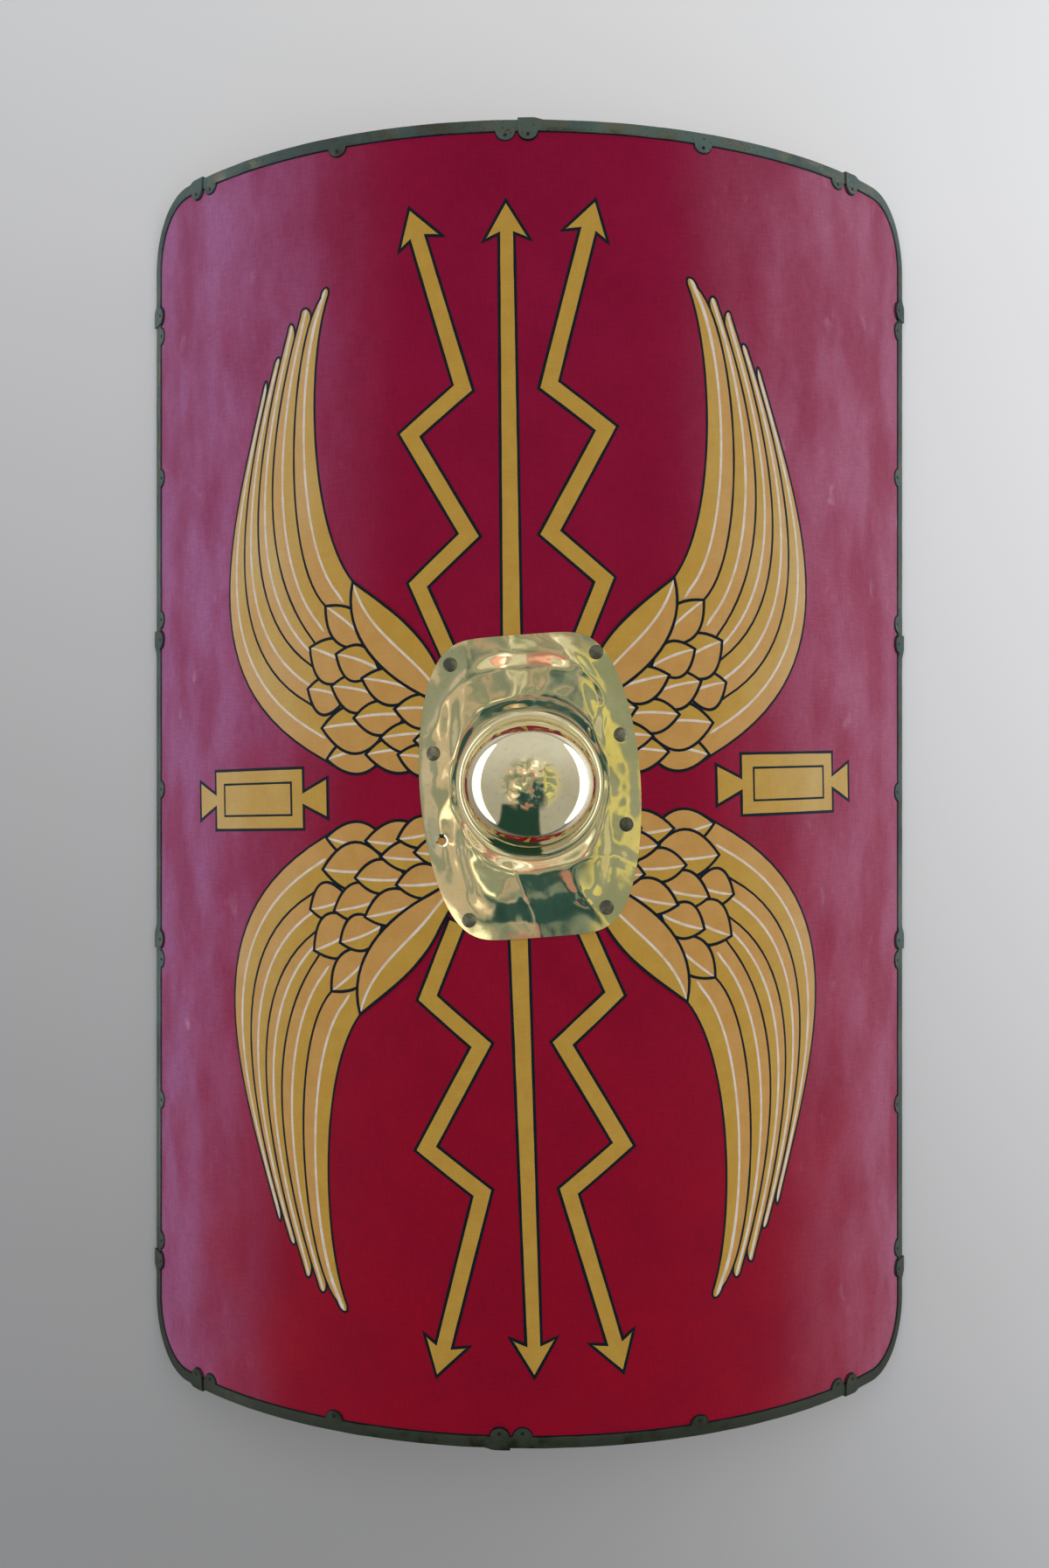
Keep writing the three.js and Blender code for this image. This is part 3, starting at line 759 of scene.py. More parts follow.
def resampled(row, count=CURVE_STEPS):
    """The same curve with its points an even share of its length apart."""
    reach = [0.0]
    for a, b in zip(row, row[1:]):
        reach.append(reach[-1] + (b - a).length)
    even, k = [], 0
    for i in range(count + 1):
        goal = reach[-1] * i / count
        while k < len(row) - 2 and reach[k + 1] < goal:
            k += 1
        even.append(row[k].lerp(row[k + 1], (goal - reach[k]) / (reach[k + 1] - reach[k])))
    return even


straight = {"inner": (0, 0), "outer": (0, 0)}
print("points round the long feathers:", [len(feather[3]) for feather in long_feathers(straight)])

# %% Coverts
COVERT_STEPS = 14
BULGES = {"upper": 0.9, "quill": 0.12, "lower": -1.1}  # how far each line bows out, in breadths


def covert(tip, root, breadth):
    """A covert's upper edge, quill, lower edge and outline between its tip and its root."""
    tip, root = Vector(tip), Vector(root)
    along = (root - tip).normalized()
    up = Vector((along.y, -along.x))
    shares = [i / COVERT_STEPS for i in range(COVERT_STEPS + 1)]
    bows = [4 * u * (1 - u) * breadth for u in shares]
    upper, quill, lower = (
        [tip.lerp(root, u) + up * bow * bulge for u, bow in zip(shares, bows)] for bulge in BULGES.values()
    )
    return upper, quill, lower, upper[::-1] + lower[1:]


def leaf():
    """The long leaf-shaped feather on the shoulder, which lies over all the others."""
    upper, quill, lower = (run_on(curve(*LEAF[part], 16)) for part in ("upper", "quill", "lower"))
    return upper, quill, lower, upper[::-1] + lower[1:]


def wing_layers(first):
    """The feathers of a wing in the order in which they are painted, layer by layer."""
    layers = [long_feathers(first)] + [[covert(*scale) for scale in rank] for rank in COVERT_RANKS]
    layers[-1].append(leaf())
    return layers


print("a covert has", len(covert((84, 41), (42, 42), 12)[3]), "points round its outline")

# %% Paint the wings
LONG_TAPER, SHORT_TAPER = 3 * MM, 9 * MM  # how far a quill thins out at its ends
QUILL_SWELL = 0.5  # how much wider the first feather's quill is near its tip
WINGS = {
    "upper_right": ({"side": 1, "end": 1, "shift": (-3, -4)}, straight),
    "upper_left": ({"side": -1, "end": 1, "shift": (0, 0)}, {"inner": (-0.5, 1), "outer": (-2, -6)}),
    "lower_left": ({"side": -1, "end": -1, "shift": (2, 8)}, {"inner": (0.5, 0), "outer": (0.5, -2)}),
    "lower_right": ({"side": 1, "end": -1, "shift": (0, 4)}, straight),
}


def paint_wing(name, setting, first):
    """Paints the feathers of a wing, each rank a film higher than the one before."""
    gold, lines, quills = start_film(), start_film(), start_film()
    root = [Vector(WING_ROOT)]
    for rank, layer in enumerate(wing_layers(first)):
        top = FILM * (1 + rank)
        for number, (upper, quill, lower, outline) in enumerate(layer):
            upper, quill, lower = upper + root, quill + root, lower + root
            fill_outline(gold, painted(upper + quill[-2:0:-1], **setting), top, 0.0)
            fill_outline(gold, painted(quill[:-1] + lower[:0:-1], **setting), top, 1.0)
            is_long = rank == 0
            stroke = run_on(quill[:-1], HIDDEN / 2) if is_long else quill
            brush_line(
                quills, painted(stroke, **setting), QUILL_WIDTH, top + LINE_RISE,
                taper=LONG_TAPER if is_long else SHORT_TAPER,
                swell=QUILL_SWELL / (1 + 2 * number) if is_long else 0.0,
            )
            line_width = LONG_OUTLINE_WIDTH if is_long else OUTLINE_WIDTH
            brush_line(lines, painted(outline, **setting), line_width, top + OUTLINE_RISE)
    finish_film("wing_%s_gold" % name, gold, gold_paint)
    finish_film("wing_%s_quills" % name, quills, quill_paint)
    finish_film("wing_%s_lines" % name, lines, outline_paint)


for name, (setting, first) in WINGS.items():
    paint_wing(name, setting, first)
print("wings painted:", ", ".join(WINGS))

# %% [markdown]
# ### Bolts and shafts
# Above and below the boss stand three darts each: a straight one between two that zigzag like lightning.
# A dart is a band along a few knee points, with an arrowhead whose barbs sweep back. The band's two sides
# come from the same helper as the brush lines, because a mitred band is a mitred band at any width.

# %% Paint the bolts
BOLT_KNEES = [(35, 322), (80, 287), (33, 204), (76, 166), (50, 105)]
BOLT_TIP = Vector((76, 470))
BOLT_HEAD = {"outer": [(9.5, -34.5), (0, -27)], "inner": [(-27.5, -25), (-13.5, -23.5)]}
BOLT_HALF = 7.4
SHAFT_TIP = Vector((1, 470))
SHAFT_HEAD = {"outer": [(19, -32), (6.3, -26.5)], "inner": [(-19, -32), (-6.3, -26.5)]}
SHAFT_FOOT = Vector((-3, 100))
SHAFT_HALVES = (6.5, 8.2)


def dart(tip, head, knees, halves):
    """The outline of a dart, from one barb round the tip to the other and back along the band."""
    outer = [tip + Vector(place) for place in head["outer"]]
    inner = [tip + Vector(place) for place in head["inner"]]
    neck = (outer[1] + inner[1]) / 2
    left, right = beside([neck] + [Vector(knee) for knee in knees], halves)
    return [*inner[::-1], tip, *outer, *left[1:], *right[:0:-1]]


def paint_darts(name, end):
    gold, lines = start_film(), start_film()
    bolt = dart(BOLT_TIP, BOLT_HEAD, BOLT_KNEES, [BOLT_HALF] * (1 + len(BOLT_KNEES)))
    shaft = dart(SHAFT_TIP, SHAFT_HEAD, [SHAFT_FOOT], SHAFT_HALVES)
    for side, shape, shift in ((1, bolt, -3), (-1, bolt, 2), (1, shaft, 0)):
        outline = painted(shape, side, end, (shift, 0))
        fill_outline(gold, outline, FILM)
        brush_line(lines, outline, OUTLINE_WIDTH, FILM + LINE_RISE, closed=True)
    finish_film("darts_%s_gold" % name, gold, gold_paint)
    finish_film("darts_%s_lines" % name, lines, outline_paint)


paint_darts("upper", 1)
paint_darts("lower", -1)
print("darts painted above and below the boss")

# %% [markdown]
# ### The two tablets
# To the left and right of the boss is a name tablet with a wedge-shaped ear at each end and a second frame
# line inside. Such tablets once carried a unit's name. Here they are bare.

# %% Paint the tablets
TABLET_ENDS = (187.5, 289)
TABLET_HALF = 25.5
EARS = (164, 311)
EAR_NECK, EAR_HALF = 5.8, 17
FRAME_LINE = {"from": 200, "to": 277, "half": 13.5}
FRAME_LINE_WIDTH = 1.8 * MM
TABLET_SHIFTS = {1: (1, -1), -1: (-2, -3.5)}  # the right and the left one aren't quite level


def tablet_outline():
    near, far = TABLET_ENDS
    upper = [(EARS[0], EAR_HALF), (near, EAR_NECK), (near, TABLET_HALF)]
    upper += [(far, TABLET_HALF), (far, EAR_NECK), (EARS[1], EAR_HALF)]
    return upper + [(x, -y) for x, y in reversed(upper)]


def frame_outline():
    near, far, half = FRAME_LINE["from"], FRAME_LINE["to"], FRAME_LINE["half"]
    return [(near, half), (far, half), (far, -half), (near, -half)]


tablet_gold, tablet_lines = start_film(), start_film()
for side, shift in TABLET_SHIFTS.items():
    outline = painted(tablet_outline(), side, 1, shift)
    fill_outline(tablet_gold, outline, FILM)
    brush_line(tablet_lines, outline, OUTLINE_WIDTH, FILM + LINE_RISE, closed=True)
    inside = painted(frame_outline(), side, 1, shift)
    brush_line(tablet_lines, inside, FRAME_LINE_WIDTH, FILM + LINE_RISE, closed=True)
finish_film("tablets_gold", tablet_gold, gold_paint)
finish_film("tablets_lines", tablet_lines, outline_paint)
print("each tablet is %.0f mm long" % (EARS[1] - EARS[0]))

# %% [markdown]
# ## The edge binding
# Strips of bronze are folded into a channel and nailed round the edge in fourteen lengths. The lengths at
# the corners and at the middle of the sides are opened out at their ends, to lap over their neighbours.
# Half-round tabs stand out of both legs and take the nails.
#
# A length is one grid: its columns go round the section of the channel, its rows go along the edge. Each
# row is placed by walking along the edge of the board. The rows crowd together at the tabs and at the
# steps of the laps, so those come out crisp. The two long sides of the grid then meet and are merged.

# %% Walk along the edge
SHEET = 1.0 * MM
FIT_GAP = 0.3 * MM
RIM_LEG = 8 * MM
LAP_LENGTH = 12 * MM
LAP_STEP = 10 * MM  # the slope up to the lap
TUCK = 6 * MM
LIFT = SHEET + FIT_GAP  # a lap stands this much over the length under it
TAB_HALF = 7.8 * MM
TAB_REACH = 7 * MM
TAB_FROM_LAP = 8.3 * MM
TAB_FROM_TUCK = 10 * MM
STRAIGHT_TOP = HALF_GIRTH - CORNER
STRAIGHT_SIDE = HALF_HEIGHT - CORNER
CORNER_ARC = CORNER * math.pi / 2
STRETCHES = [(STRAIGHT_TOP, False), (CORNER_ARC, True), (2 * STRAIGHT_SIDE, False), (CORNER_ARC, True)]
STRETCHES += [(2 * STRAIGHT_TOP, False), (CORNER_ARC, True), (2 * STRAIGHT_SIDE, False), (CORNER_ARC, True)]
STRETCHES += [(STRAIGHT_TOP, False)]
PERIMETER = sum(length for length, turns in STRETCHES)


def edge_at(distance):
    """The edge of the board at a distance clockwise from its upper middle, and the way outwards there."""
    left = distance % PERIMETER
    point, outward, heading = Vector((0, HALF_HEIGHT)), Vector((0, 1)), 0.0
    for length, turns in STRETCHES:
        run = min(left, length)
        if turns:
            point = point - outward * CORNER
            heading += run / CORNER
            outward = Vector((math.sin(heading), math.cos(heading)))
            point = point + outward * CORNER
        else:
            point = point + Vector((outward.y, -outward.x)) * run
        left -= run
    return point, outward


def top_at(s):
    return s


def right_at(y):
    return STRAIGHT_TOP + CORNER_ARC + STRAIGHT_SIDE - y


def bottom_at(s):
    return right_at(-STRAIGHT_SIDE) + CORNER_ARC + STRAIGHT_TOP - s


def left_at(y):
    return PERIMETER - right_at(y)


print("the edge is %.0f mm round" % (PERIMETER / MM))

# %% Build one length of binding
ROW_STEP = 4 * MM
TAB_ROWS = 14
FOLD_RADIUS = 1.5 * MM
FOLD_STEPS = 4
EDGE_ROUNDING = 0.3 * SHEET
DENT = 0.16 * MM  # how far the strip is off its true line, here and there
DENT_LENGTHS = (22 * MM, 6 * MM)
LEG_UNEVEN = 2.2  # the free edge of a leg is this much less true than the fold
FACE_UNEVEN = 0.6


def channel_section():
    """The section of the folded strip, as (outward, n): round outside, then back along the inside."""
    back = -BOARD_THICKNESS - FIT_GAP
    front_out, back_out, side_out = FIT_GAP + SHEET, back - SHEET, FIT_GAP + SHEET
    turns = [math.pi / 2 * i / FOLD_STEPS for i in range(FOLD_STEPS + 1)]
    section = [(-RIM_LEG, front_out - EDGE_ROUNDING), (-RIM_LEG + EDGE_ROUNDING, front_out)]
    section.append((-RIM_LEG / 2, front_out))
    for turn in turns:
        out = side_out - FOLD_RADIUS * (1 - math.sin(turn))
        section.append((out, front_out - FOLD_RADIUS * (1 - math.cos(turn))))
    for turn in reversed(turns):
        out = side_out - FOLD_RADIUS * (1 - math.sin(turn))
        section.append((out, back_out + FOLD_RADIUS * (1 - math.cos(turn))))
    section += [(-RIM_LEG / 2, back_out), (-RIM_LEG + EDGE_ROUNDING, back_out)]
    section.append((-RIM_LEG, back_out + EDGE_ROUNDING))
    section += [(-RIM_LEG, back), (FIT_GAP, back), (FIT_GAP, FIT_GAP), (-RIM_LEG, FIT_GAP)]
    return section


def tab_reach(offset):
    """How far a tab stands out of the leg, at a distance along the edge from the tab's middle."""
    return TAB_REACH * math.sqrt(max(0.0, 1 - (offset / TAB_HALF) ** 2))


def rows_of(start, end, tabs, steps):
    """Distances of the rows of a length: even ones, and closer ones at the tabs and the lap steps."""
    rows = {start, end, *steps}
    for middle in tabs:
        rows.update(middle - TAB_HALF * math.cos(math.pi * i / TAB_ROWS) for i in range(TAB_ROWS + 1))
    count = math.ceil((end - start) / ROW_STEP)
    for i in range(1, count):
        even = start + (end - start) * i / count
        if all(abs(even - other) > ROW_STEP / 4 for other in rows):
            rows.add(even)
    return sorted(rows)


print("the folded section has", len(channel_section()), "points")

# %% Plan one length
def length_plan(start, end, laps_start, laps_end, middle_tab):
    """What shapes one length: where it begins and ends, its tabs, its rows and where it is opened out."""
    tabs = [start + (TAB_FROM_LAP if laps_start else TAB_FROM_TUCK)]
    tabs.append(end - (TAB_FROM_LAP if laps_end else TAB_FROM_TUCK))
    if middle_tab:
        tabs.append((start + end) / 2)
    first = start if laps_start else start - TUCK
    last = end if laps_end else end + TUCK
    steps = []
    if laps_start:
        steps += [start + LAP_LENGTH, start + LAP_LENGTH + LAP_STEP]
    if laps_end:
        steps += [end - LAP_LENGTH - LAP_STEP, end - LAP_LENGTH]

    def lift(distance):
        near_start = 1 - (distance - start - LAP_LENGTH) / LAP_STEP if laps_start else 0.0
        near_end = 1 - (end - LAP_LENGTH - distance) / LAP_STEP if laps_end else 0.0
        return LIFT * smooth(0, 1, max(near_start, near_end))

    return {"tabs": tabs, "rows": rows_of(first, last, tabs, steps), "lift": lift}


example = length_plan(0, 300 * MM, True, True, True)
print("a length of 300 mm has", len(example["rows"]), "rows and", len(example["tabs"]), "tabs")

# %% Fold one length
def waviness(distance):
    """How far off its true line the strip is, from about -1 to 1."""
    long_wave, short_wave = DENT_LENGTHS
    broad = noise.noise(Vector((distance / long_wave, 0, 0)))
    return broad + 0.5 * noise.noise(Vector((distance / short_wave, 4, 0)))


def make_length(plan):
    """Lays a grid along the edge, its columns round the section, and merges its two long sides."""
    section = channel_section()
    columns, rows = len(section) + 1, plan["rows"]
    bm = bmesh.new()
    made = bmesh.ops.create_grid(bm, x_segments=columns - 1, y_segments=len(rows) - 1, size=1)["verts"]
    for index, vertex in enumerate(made):
        row, column = divmod(index, columns)
        distance = rows[row]
        out, n = section[column % len(section)]
        point, outward = edge_at(distance)
        lift = plan["lift"](distance)
        reach = max(tab_reach(distance - tab) for tab in plan["tabs"])
        wave = waviness(distance)
        if out > 0:
            out += lift + DENT * wave
        elif out <= EDGE_ROUNDING - RIM_LEG:
            out += LEG_UNEVEN * DENT * wave - reach
        is_outside = n > FIT_GAP or n < -BOARD_THICKNESS - FIT_GAP
        rise = lift + (DENT * FACE_UNEVEN * (1 + wave) if is_outside else 0.0)
        n += rise if n > -BOARD_THICKNESS / 2 else -rise
        vertex.co = (*(point + outward * out), n)
    bmesh.ops.remove_doubles(bm, verts=bm.verts, dist=MERGE)
    open_edges = [edge for edge in bm.edges if edge.is_boundary]
    bmesh.ops.holes_fill(bm, edges=open_edges, sides=0)
    bend(bm)
    return close_up(bm)


print("at 150 mm a strip is %.2f mm off its true line" % (DENT * waviness(150 * MM) / MM))

# %% [markdown]
# ### Aged bronze
# The binding has gone a dull grey-green, nearly black where dirt has settled, dark and olive near the
# lower end, and brighter only on rubbed spots. The metal is real metal under a thin dull skin, so the
# tarnish mask changes the colour, the roughness and how metallic it is, all at once.

# %% Material: aged bronze
def bronze(name, clean, skin, dirt, lower_end_colour, scale, polish):
    """Bronze with a skin of tarnish, darker near the lower end. polish is its roughness where clean."""
    material, tree, shader = new_material(name, Specular_IOR_Level=0.25)
    where = add(tree, "TexCoord").outputs["Object"]
    age = add(tree, "Group", {"Vector": where, "Scale": scale}, node_tree=aged).outputs
    broad = add(tree, "Group", {
        "Vector": where, "Scale": scale / 6, "Low": 0.35, "High": 0.65,
    }, node_tree=patches)
    body = blend(tree, age["Tarnish"], colour(clean), colour(skin))
    body = blend(tree, maths(tree, "MULTIPLY", broad.outputs[0], 0.55), body, colour(dirt))
    height = add(tree, "SeparateXYZ", {"Vector": where}).outputs["Y"]
    # The colour turns darker and more olive towards the lower end.
    low_down = maths(tree, "MULTIPLY", between(tree, height, -0.3, -0.5), 0.85)
    body = blend(tree, low_down, body, colour(lower_end_colour))
    body = blend(tree, maths(tree, "MULTIPLY", age["Specks"], 0.7), body, colour(dirt))
    tree.links.new(body, shader.inputs["Base Color"])
    dull = maths(tree, "ADD", maths(tree, "MULTIPLY", age["Tarnish"], 0.25), polish)
    tree.links.new(dull, shader.inputs["Roughness"])
    bare = maths(tree, "SUBTRACT", 0.8, maths(tree, "MULTIPLY", age["Tarnish"], 0.55))
    tree.links.new(bare, shader.inputs["Metallic"])
    bump = add(tree, "Bump", {"Height": age["Height"], "Strength": 0.35, "Distance": 0.2 * MM})
    tree.links.new(bump.outputs[0], shader.inputs["Normal"])
    return material


rim_bronze = bronze("binding_bronze", "66685a", "52645f", "1e2a28", "262a1c", 60.0, 0.36)
print("material", rim_bronze.name, "made")

# %% Bend the fourteen lengths
TOP = {"left": -313 * MM, "middle": -10 * MM, "right": 297 * MM}
BOTTOM = {"left": -313 * MM, "middle": -16 * MM, "right": 297 * MM}
RIGHT = {"top": 424 * MM, "upper": 136 * MM, "lower": -151 * MM, "bottom": -434 * MM}
LEFT = {"top": 419 * MM, "upper": 140 * MM, "lower": -150 * MM, "bottom": -427 * MM}
UNDER, OVER = (False, False, True), (True, True, True)  # (laps at its start, at its end, has a middle tab)
CAP, OVER_AT_START = (True, True, False), (True, False, True)
LENGTHS = {
    "rim_corner_upper_left": (left_at(LEFT["top"]) - PERIMETER, top_at(TOP["left"]), CAP),
    "rim_top_left": (top_at(TOP["left"]), top_at(TOP["middle"]), UNDER),
    "rim_top_right": (top_at(TOP["middle"]), top_at(TOP["right"]), OVER_AT_START),
    "rim_corner_upper_right": (top_at(TOP["right"]), right_at(RIGHT["top"]), CAP),
    "rim_right_upper": (right_at(RIGHT["top"]), right_at(RIGHT["upper"]), UNDER),
    "rim_right_middle": (right_at(RIGHT["upper"]), right_at(RIGHT["lower"]), OVER),
    "rim_right_lower": (right_at(RIGHT["lower"]), right_at(RIGHT["bottom"]), UNDER),
    "rim_corner_lower_right": (right_at(RIGHT["bottom"]), bottom_at(BOTTOM["right"]), CAP),
    "rim_bottom_right": (bottom_at(BOTTOM["right"]), bottom_at(BOTTOM["middle"]), UNDER),
    "rim_bottom_left": (bottom_at(BOTTOM["middle"]), bottom_at(BOTTOM["left"]), OVER_AT_START),
    "rim_corner_lower_left": (bottom_at(BOTTOM["left"]), left_at(LEFT["bottom"]), CAP),
    "rim_left_lower": (left_at(LEFT["bottom"]), left_at(LEFT["lower"]), UNDER),
    "rim_left_middle": (left_at(LEFT["lower"]), left_at(LEFT["upper"]), OVER),
    "rim_left_upper": (left_at(LEFT["upper"]), left_at(LEFT["top"]), UNDER),
}
plans = {name: length_plan(start, end, *ends) for name, (start, end, ends) in LENGTHS.items()}
for name, plan in plans.items():
    length = make_length(plan)
    print(name + ":", size_of(length))
    finish_piece(name + "_folded", length, [rim_bronze], [name], sharp=50)

# %% [markdown]
# ### Painted shade and grime along the binding
# A thin dark line is painted in the angle between the binding and the board, and it goes round every tab.
# It is painted shadow where the legs meet the board, and partly polish and dirt that gathered there. It is
# a brush line like the others, laid along the free edge of the legs.

# %% Lay the line of painted shade and grime
GRIME_AND_SHADE_WIDTH = 1.3 * MM
GRIME_AND_SHADE_OFF = 0.2 * MM  # its middle runs this far from the legs


def make_grime_and_shade():
    """Follows the free edge of each length, and goes round its tabs."""
    bm = start_film()
    for plan in plans.values():
        row = []
        for distance in plan["rows"]:
            point, outward = edge_at(distance)
            reach = max(tab_reach(distance - tab) for tab in plan["tabs"])
            row.append(point - outward * (RIM_LEG + reach + GRIME_AND_SHADE_OFF))
        brush_line(bm, row[1:-1], GRIME_AND_SHADE_WIDTH, FILM)
    return bm


# Painted shadow and grime: a dark line where the binding meets the board.
finish_film("edge_grime_and_shade", make_grime_and_shade(), outline_paint)
print("the grime line is %.1f mm wide" % (GRIME_AND_SHADE_WIDTH / MM))

# %% [markdown]
# ### Nails
# A nail is a turned shape, so its half section is spun round its axis: a domed head in front, a thin shank,
# and a small clenched end behind. The same function turns the boss rivets, which are the same thing but
# larger. Each head gets a few random dents from the hammer.

# %% Turn a nail or a rivet
TURN_STEPS = 20
HEAD_WAIST = 0.96  # the underside of a head is this much narrower than its widest
HEAD_EDGE = 0.16  # share of a head's height that its upright edge takes


def dome_section(radius, base, height, rings=5):
    """Points from the edge of a domed end to its pole."""
    angles = [math.pi / 2 * i / rings for i in range(rings + 1)]
    return [(radius * math.cos(angle), base + height * math.sin(angle)) for angle in angles]


def make_fixing(place, head, shank, burr, under, behind, dent):
    """A nail or rivet through the board. head and burr are (radius, height); dent is the hammer's mark."""
    bm = bmesh.new()
    section = dome_section(burr[0], behind, -burr[1], 3)[::-1]
    section += [(shank, behind), (shank, under), (head[0] * HEAD_WAIST, under)]
    section += dome_section(head[0], under + head[1] * HEAD_EDGE, head[1] * (1 - HEAD_EDGE))
    spun(bm, section, TURN_STEPS)
    close_up(bm)
    for vertex in bm.verts:
        if vertex.co.z > under:
            spot = vertex.co / head[0] + place * 1000
            vertex.co.z += dent * noise.noise(spot * 1.3)
            vertex.co.xy *= 1 + dent / head[0] * noise.noise(spot + Vector((9, 9, 9)))
    bmesh.ops.translate(bm, verts=bm.verts, vec=place)
    bend(bm)
    return bm


print("a domed end is drawn with", len(dome_section(1, 0, 1)), "points")

# %% Drive the nails
NAIL_HEAD = (1.5 * MM, 0.6 * MM)
NAIL_SHANK = 0.8 * MM
NAIL_BURR = (1.3 * MM, 0.5 * MM)
NAIL_DENT = 0.12 * MM
NAIL_IN_TAB = 0.45  # a nail sits this share of the way out along its tab
nail_bronze = bronze("nail_bronze", "3c4038", "262e2a", "121614", "1c1e18", 220.0, 0.45)
nails = 0
for name, plan in plans.items():
    for number, tab in enumerate(plan["tabs"]):
        point, outward = edge_at(tab)
        place = point - outward * (RIM_LEG + NAIL_IN_TAB * TAB_REACH)
        rise = LIFT + plan["lift"](tab)
        behind = -BOARD_THICKNESS - rise
        nail = make_fixing(
            Vector((*place, 0)), NAIL_HEAD, NAIL_SHANK, NAIL_BURR, rise, behind, NAIL_DENT
        )
        finish_piece("%s_nail_%d" % (name, number + 1), nail, [nail_bronze])
        nails += 1
print(nails, "nails in the tabs")

# %% [markdown]
# ## The brass boss
# The boss is one sheet of brass. A smith raises the bowl over a stake, flares its foot, and leaves a
# barrel-shaped plate round it that is bent to the board. Its polish is bright, but the plate is full of
# shallow dents and creases, and they break every reflection into wandering shapes. That is most of how it
# looks, so those dents are in the mesh.
#
# The half section of bowl, flare and plate is spun first. The plate is then drawn out from a circle to
# its barrel outline, pressed and dented, and given its thickness. It is bent round the board last.

# %% The section of the boss
BOSS_SHEET = 1.2 * MM
PLATE_HALF_WIDTH = 89 * MM
PLATE_HALF_HEIGHT = 122.5 * MM
PLATE_SQUARENESS = 6.5
PLATE_BARREL = 0.26  # share of its half width that the plate has lost at its ends
UPPER_END = 0.973  # its upper end is this share as far out as its lower end
DOME_RADIUS = 50 * MM
DOME_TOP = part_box("boss")[1].z - FACE_TOP
DOME_SPRING = 24 * MM
FLARE_RADIUS = 58 * MM
PLATE_TOP = FIT_GAP + BOSS_SHEET
DOME_RINGS, FLARE_RINGS, PLATE_RINGS = 20, 12, 30
BOSS_STEPS = 176
PLATE_GROWTH = 1 * MM  # one ring of the plate before it is drawn out to its outline


def boss_section():
    """The half section (radius, n) of the bowl, its flared foot and the flat plate."""
    section = []
    for i in range(DOME_RINGS):
        angle = math.pi / 2 * i / DOME_RINGS
        n = DOME_SPRING + (DOME_TOP - DOME_SPRING) * math.cos(angle)
        section.append((DOME_RADIUS * math.sin(angle), n))
    for i in range(FLARE_RINGS + 1):
        angle = math.pi / 2 * i / FLARE_RINGS
        out = DOME_RADIUS + (FLARE_RADIUS - DOME_RADIUS) * (1 - math.cos(angle))
        section.append((out, DOME_SPRING - (DOME_SPRING - PLATE_TOP) * math.sin(angle)))
    for i in range(1, PLATE_RINGS + 1):
        section.append((FLARE_RADIUS + i * PLATE_GROWTH, PLATE_TOP))
    return section


def plate_edge(direction):
    """A point of the barrel outline: a squarish oval that is drawn in towards its ends."""
    across = abs(math.cos(direction) / PLATE_HALF_WIDTH) ** PLATE_SQUARENESS
    along = abs(math.sin(direction) / PLATE_HALF_HEIGHT) ** PLATE_SQUARENESS
    reach = (across + along) ** (-1 / PLATE_SQUARENESS)
    y = reach * math.sin(direction)
    drawn_in = 1 - PLATE_BARREL * (y / PLATE_HALF_HEIGHT) ** 2
    return Vector((reach * math.cos(direction) * drawn_in, y * UPPER_END if y > 0 else y))


print("boss bowl: %.0f mm across, %.0f mm above the face" % (2 * DOME_RADIUS / MM, DOME_TOP / MM))

# %% Dents and creases of the plate
PANEL_HALF = (57 * MM, 99 * MM)  # a panel round the bowl that is pressed up a little
PANEL_SQUARENESS = 5
PANEL_RISE = 1.1 * MM
PANEL_STEP = 0.1  # width of its soft step, as a share of its half size
PANEL_WANDER, WANDER_LENGTH = 0.05, 30 * MM  # its edge isn't quite true
RIPPLE = [(46 * MM, 1.2 * MM), (22 * MM, 0.42 * MM), (9 * MM, 0.18 * MM)]  # (size, height) of the dents
RIDGE_SIZE, RIDGE_HEIGHT = 62 * MM, 0.7 * MM  # creases where the sheet has been knocked and pushed back
RIDGE_SHARPNESS = 3.5


def plate_relief(x, y):
    """How far the plate stands off its true surface at a place, beyond the flare."""
    across, along = (abs(c / half) ** PANEL_SQUARENESS for c, half in zip((x, y), PANEL_HALF))
    size = (across + along) ** (1 / PANEL_SQUARENESS)
    wobble = PANEL_WANDER * noise.noise(Vector((x, y, 0)) / WANDER_LENGTH)
    relief = PANEL_RISE * (1 - smooth(1 - PANEL_STEP, 1 + PANEL_STEP, size + wobble))
    for seed, (scale, height) in enumerate(RIPPLE):
        relief += height * (0.5 + 0.5 * noise.noise(Vector((x, y, 0)) / scale + Vector((0, 0, 11 * seed))))
    crease = max(0.0, 1 - RIDGE_SHARPNESS * abs(noise.noise(Vector((x, y, 5 * MM)) / RIDGE_SIZE)))
    return relief + RIDGE_HEIGHT * crease ** 2


print("beside the bowl the plate is dented by %.1f mm" % (plate_relief(70 * MM, 0) / MM))

# %% Raise the boss
SEATED_FROM = 0.22  # the dents begin gently beside the flare, over this share of the plate
RIM_CALM = (0.55, 0.55)  # beyond this share of the plate the dents fade, by this much at its edge


